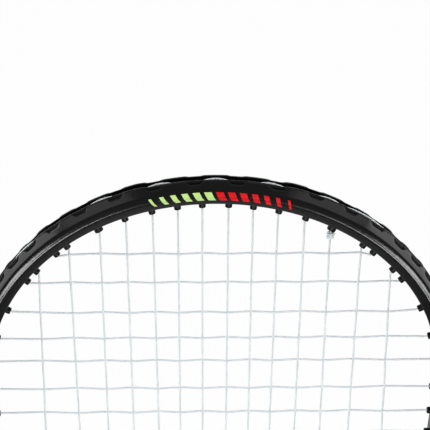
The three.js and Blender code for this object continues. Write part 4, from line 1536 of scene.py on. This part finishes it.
# %% Grip strap
STRAP_TURNS = 7.5
STRAP_STOP = 5.0 * MM
STRAP_GAP = 0.5 * MM
STRAP_TIP = 3.0 * MM
FLARE_TOP = 70.0 * MM
RING_STEPS = 48
strap_top = pallet_top - STRAP_STOP
strap_bottom = CAP_LIP_HEIGHT + SEAT_GAP
strap_pitch = (strap_top - strap_bottom) / STRAP_TURNS
ACROSS = [                    # shares of the band's width, with shares of its thickness there
    (0.0, 0.35), (0.03, 0.80), (0.08, 1.0), (0.30, 1.0), (0.55, 0.96),
    (0.80, 0.92), (0.93, 0.85), (0.98, 0.70), (1.0, 0.35)]


def under_strap(height):
    """How far the surface under the strap stands out from the pallets."""
    share = min(1, max(0, (FLARE_TOP - height) / (FLARE_TOP - CAP_LIP_HEIGHT)))
    return SEAT_GAP + (FLARE_GROW - SEAT_GAP) * share


def strap_edges(turn):
    """The heights of the band's edges, level where the winding starts and stops."""
    high = strap_bottom + strap_pitch * turn
    low = high - strap_pitch
    return max(strap_bottom, low + STRAP_GAP / 2), min(strap_top, high - STRAP_GAP / 2)


def on_handle(turn, height, lift):
    """A place on the strap's skin: a turn round the handle, a height and a distance off the pallets."""
    ring = pallet_ring(under_strap(height) + lift, height)
    place_on = turn % 1 * len(ring)
    k = int(place_on)
    return ring[k % len(ring)] + (ring[(k + 1) % len(ring)] - ring[k % len(ring)]) * (place_on - k)


def make_strap():
    """The whole band, as a loft along the winding."""
    rings = []
    for k in range(int((STRAP_TURNS + 1) * RING_STEPS) + 1):
        turn = k / RING_STEPS
        low, high = strap_edges(turn)
        if high - low < STRAP_TIP:
            continue
        ring = [on_handle(turn, low, 0)]
        for across, bulge in ACROSS:
            ring.append(on_handle(turn, low + (high - low) * across, STRAP_THICKNESS * bulge))
        ring.append(on_handle(turn, high, 0))
        rings.append(ring)
    return loft("strap_skin", rings, strap_skin)


strap = make_strap()
print(f"strap: {STRAP_TURNS} turns, {1000 * (strap_pitch - STRAP_GAP):.1f} mm wide")

# %% [markdown]
# The strap is punched all over, so that the hand stays dry. Hundreds of cuts one by one would be
# slow, so a node tree sets a small punch on each point, square to the skin, and all cut at once.

# %% Perforations
HOLE_SPACING = 0.047          # turns between perforations along the band
HOLE_ROWS = [0.28, 0.44, 0.60, 0.76]
PUNCH_RADIUS = 0.42 * MM
PUNCH_DEPTH = 0.9 * MM
FIRST_HOLE_TURN = 0.9
PROBE_TURN = 0.002            # a step round and a step up, to find the skin's direction
PROBE_RISE = 0.5 * MM


def perforation_points():
    """A point on the skin for each perforation, and the skin's direction there."""
    points, axes = [], []
    for row, across in enumerate(HOLE_ROWS):
        turn = FIRST_HOLE_TURN + (row % 2) * HOLE_SPACING / 2
        while turn < STRAP_TURNS:
            low, high = strap_edges(turn)
            height = low + (high - low) * across
            spot = on_handle(turn, height, STRAP_THICKNESS)
            beside = on_handle(turn + PROBE_TURN, height, STRAP_THICKNESS)
            above = on_handle(turn, height + PROBE_RISE, STRAP_THICKNESS)
            normal = np.cross(beside - spot, above - spot)
            points.append(spot)
            axes.append(normal / np.linalg.norm(normal))
            turn += HOLE_SPACING
    return points, axes


points, axes = perforation_points()
punch = turned("punch", [(PUNCH_RADIUS, -PUNCH_DEPTH), (PUNCH_RADIUS, MM)], 8)
punches = point_object("punches", points, axes)
run_tree(punches, copies_tree("perforations"), {"Shape": punch, "Material": strap_skin})
drop(punch)
cut(strap, [punches])
smooth_below(strap, 38)
print("perforations:", len(points))
finish_piece(strap, "grip_strap", "grip_strap")

# %% [markdown]
# ## Tape and collar
# A turn of vinyl tape holds the strap's upper end, and its own end shows as a step. The rubber
# collar comes down over it. It is thick at its lower lip, with four raised ribs, and narrows from the
# handle's octagon to the twin tubes.

# %% Finishing tape and collar
TAPE_OVERRUN = 3.0 * MM
TAPE_HEIGHT = 16.0 * MM
TAPE_THICKNESS = 0.4 * MM
TAPE_EDGE = 0.12 * MM
TAPE_END_SPAN = slice(8, 14)  # points of the handle's ring that the end lies on
TAPE_END_LIFTS = (0.02 * MM, 0.14 * MM)
COLLAR_OVERLAP = 6.0 * MM
COLLAR_WALL = 1.2 * MM
COLLAR_RIB = 0.45 * MM
COLLAR_BULGE = 0.3 * MM
COLLAR_SOFTNESS = 1.2 * MM
RIB_COUNT = 4
grip_grow = SEAT_GAP + STRAP_THICKNESS
tape_top = strap_top + TAPE_OVERRUN
tape_foot = tape_top - TAPE_HEIGHT


def make_tape():
    """One turn of tape with soft edges."""
    inner = grip_grow + SEAT_GAP
    outer = inner + TAPE_THICKNESS
    corners = [(inner, tape_foot), (outer, tape_foot), (outer, tape_top), (inner, tape_top)]
    outline = fillet(corners, [0, TAPE_EDGE, TAPE_EDGE, 0], steps=3)
    rings = [pallet_ring(grow, height) for grow, height in outline]
    return loft("tape_turn", rings, tape_vinyl, looped=True)


def make_tape_end():
    """The last centimetre of the tape, which lies on the turn below it."""
    grow = grip_grow + SEAT_GAP + TAPE_THICKNESS
    under, over = (pallet_ring(grow + lift, 0)[TAPE_END_SPAN, :2] for lift in TAPE_END_LIFTS)
    rings = [
        [(*low, tape_foot), (*high, tape_foot), (*high, tape_top), (*low, tape_top)]
        for low, high in zip(under, over)]
    return loft("tape_end", rings, tape_vinyl)


def make_collar():
    """The sleeve's rings, up its outside and down its inside."""
    inner = grip_grow + 2 * SEAT_GAP + TAPE_THICKNESS
    outer = inner + COLLAR_WALL
    shelf = pallet_top + SEAT_GAP
    low = tape_top - COLLAR_OVERLAP
    cavity_width = STEM_SPREAD + ARM_WIDTH + 2 * SEAT_GAP

    def stem_ring(grow, height):
        chamfer = ARM_BEVEL + grow * CHAMFER_SHARE
        return ring_at(
            height, cavity_width + 2 * grow, cavity_depth + 2 * grow, chamfer, COLLAR_SOFTNESS)

    shoulder = shelf + COLLAR_WALL
    rings = [pallet_ring(outer - 0.5 * MM, low), pallet_ring(outer, low + 0.4 * MM)]
    rings += [pallet_ring(outer, height) for height in np.linspace(low + 1.0 * MM, shoulder, 6)]
    wide, slim = pallet_ring(outer, shoulder), stem_ring(COLLAR_WALL, handle_top)
    for share in np.linspace(0, 1, 34)[1:]:
        ring = wide + (slim - wide) * share
        wave = max(0, math.cos(2 * math.pi * (share * (RIB_COUNT + 0.5) - 0.5)))
        rise = math.sin(math.pi * share) * (COLLAR_RIB * wave + COLLAR_BULGE)
        radial = ring[:, :2] / np.linalg.norm(ring[:, :2], axis=1, keepdims=True)
        ring[:, :2] += radial * rise
        rings.append(ring)
    rings += [stem_ring(COLLAR_WALL - 0.4 * MM, handle_top), stem_ring(0, handle_top)]
    rings += [stem_ring(0, shelf), pallet_ring(inner, shelf), pallet_ring(inner, low)]
    return loft("collar_sleeve", rings, collar_rubber, looped=True)


for piece, angle, slot, *nodes in (
        (make_tape(), 40, "finishing_tape", "finishing_tape"),
        (make_tape_end(), 40, "finishing_tape"),
        (make_collar(), 50, "collar_rubber", "rubber_collar")):
    smooth_below(piece, angle)
    finish_piece(piece, slot, *nodes)

# %% Finish of the solids that stay
stay = ("pallet_front", "pallet_back")
for name in stay:
    paint(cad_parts[name], pallet_foam)
print("solids that stay:", *stay)

# %% [markdown]
# ## Floor, world and lamps
# The racket stands on a plain pale floor that reaches to the background. For the camera and for
# reflections the floor is mixed with plain white, so that it meets the white world without an edge
# and still takes the racket's shadow. Gloss black shows little but what it mirrors, so most boxes
# show in reflections alone: they draw the long highlights along the shoulders and the grey of the
# outer bevel. The light that falls on the racket is soft and plain.

# %% Floor and world
FLOOR_SIDE = 60.0
FLOOR_COLOUR = (0.86, 0.86, 0.86, 1)
FLOOR_WHITE_SHARE = 0.975
WHITE = (1, 1, 1, 1)
AMBIENT = 0.95
CEILING = 0.25


def direct_view(tree):
    """1 for camera, glossy and transmission rays, and 0 for the light that falls on the racket."""
    path = tree.nodes.new("ShaderNodeLightPath")
    first = maths(tree, "MAXIMUM", path.outputs["Is Camera Ray"], path.outputs["Is Glossy Ray"])
    return maths(tree, "MAXIMUM", first, path.outputs["Is Transmission Ray"])


def mix_by_ray(tree, share, lit, seen, output):
    """Ends a tree with two shaders: one for the light on the racket and one for what is seen."""
    mix = node_in(tree, "ShaderNodeMixShader", {0: share, 1: lit, 2: seen})
    node_in(tree, output, {"Surface": mix.outputs["Shader"]})


def make_floor():
    """A pale floor that camera rays see as nearly white."""
    material = bpy.data.materials.new("pale_floor")
    tree = empty_tree(material)
    paint_shader = node_in(tree, "ShaderNodeBsdfDiffuse", {"Color": FLOOR_COLOUR})
    white = tree.nodes.new("ShaderNodeEmission")
    share = maths(tree, "MULTIPLY", direct_view(tree), FLOOR_WHITE_SHARE)
    mix_by_ray(
        tree, share, paint_shader.outputs["BSDF"], white.outputs["Emission"],
        "ShaderNodeOutputMaterial")
    half = FLOOR_SIDE / 2
    corners = [(-half, -half, 0), (half, -half, 0), (half, half, 0), (-half, half, 0)]
    floor = new_object("floor", corners, [(0, 1, 2, 3)], material, smooth=False)
    floor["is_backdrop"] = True
    return floor


def set_world():
    """White for the camera and reflections, and a softer, shaded sky as light."""
    scene.world = bpy.data.worlds.new("white_studio")
    tree = empty_tree(scene.world)
    direction = tree.nodes.new("ShaderNodeTexCoord").outputs["Generated"]
    split = node_in(tree, "ShaderNodeSeparateXYZ", {"Vector": direction})
    strength = remap(tree, split.outputs["Z"], AMBIENT, CEILING)
    light = node_in(tree, "ShaderNodeBackground", {"Color": WHITE, "Strength": strength})
    seen = node_in(tree, "ShaderNodeBackground", {"Color": WHITE})
    mix_by_ray(
        tree, direct_view(tree), light.outputs["Background"], seen.outputs["Background"],
        "ShaderNodeOutputWorld")


make_floor()
set_world()
print("floor", FLOOR_SIDE, "m wide, ambient", AMBIENT)

# %% [markdown]
# Each lamp is a rectangle that faces the head. Its power is worked out from how bright it has to
# look in a reflection, so a box can change its size and keep its brightness.

# %% Soft boxes
HEAD_CENTRE = Vector((0, 0, CROWN_TOP - WIDEST_DROP))


def soft_box(name, azimuth, elevation, distance, width, height, radiance, gleam=False, fill=False):
    """A rectangular lamp that faces the head. A gleam only shows in reflections, and a fill in none."""
    a, e = math.radians(azimuth), math.radians(elevation)
    way_out = Vector((math.sin(a) * math.cos(e), -math.cos(a) * math.cos(e), math.sin(e)))
    data = bpy.data.lights.new(name, "AREA")
    data.shape = "RECTANGLE"
    data.size, data.size_y = width, height
    data.energy = radiance * math.pi * width * height
    lamp = bpy.data.objects.new(name, data)
    scene.collection.objects.link(lamp)
    lamp.location = HEAD_CENTRE + way_out * distance
    lamp.rotation_euler = way_out.to_track_quat("Z", "Y").to_euler()
    lamp.visible_camera = False
    lamp.visible_diffuse = not gleam
    lamp.visible_glossy = not fill
    return lamp


SET_AZIMUTH = 1.6             # the lamps stand evenly to both sides of this direction
for side, label in ((1, "right"), (-1, "left")):
    soft_box(f"stripe_box_{label}", SET_AZIMUTH + side * 25.9, -6.0, 1.28, 0.28, 0.22, 52, gleam=True)
    soft_box(f"line_box_{label}", SET_AZIMUTH + side * 13.4, -14.7, 1.28, 0.27, 0.15, 58, gleam=True)
    soft_box(f"side_box_{label}", side * 92, 20, 1.4, 1.0, 1.1, 2.6)
    soft_box(f"side_gleam_{label}", side * 92, 20, 1.42, 1.0, 1.1, 5.0, gleam=True)
    soft_box(f"high_gleam_{label}", side * 71, 52, 1.4, 0.62, 0.5, 3.0, gleam=True)
soft_box("front_fill", 0, 12, 1.6, 1.2, 1.2, 1.2, fill=True)

# %% [markdown]
# The Standard view shows the finishes' colours as they were chosen. The last lines print the box round
# all that is shown, without the floor.

# %% Colour management, sizes and the end
scene.view_settings.view_transform = "Standard"
low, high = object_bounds()
print("visual box in mm:", [round(1000 * v, 1) for v in low], [round(1000 * v, 1) for v in high])
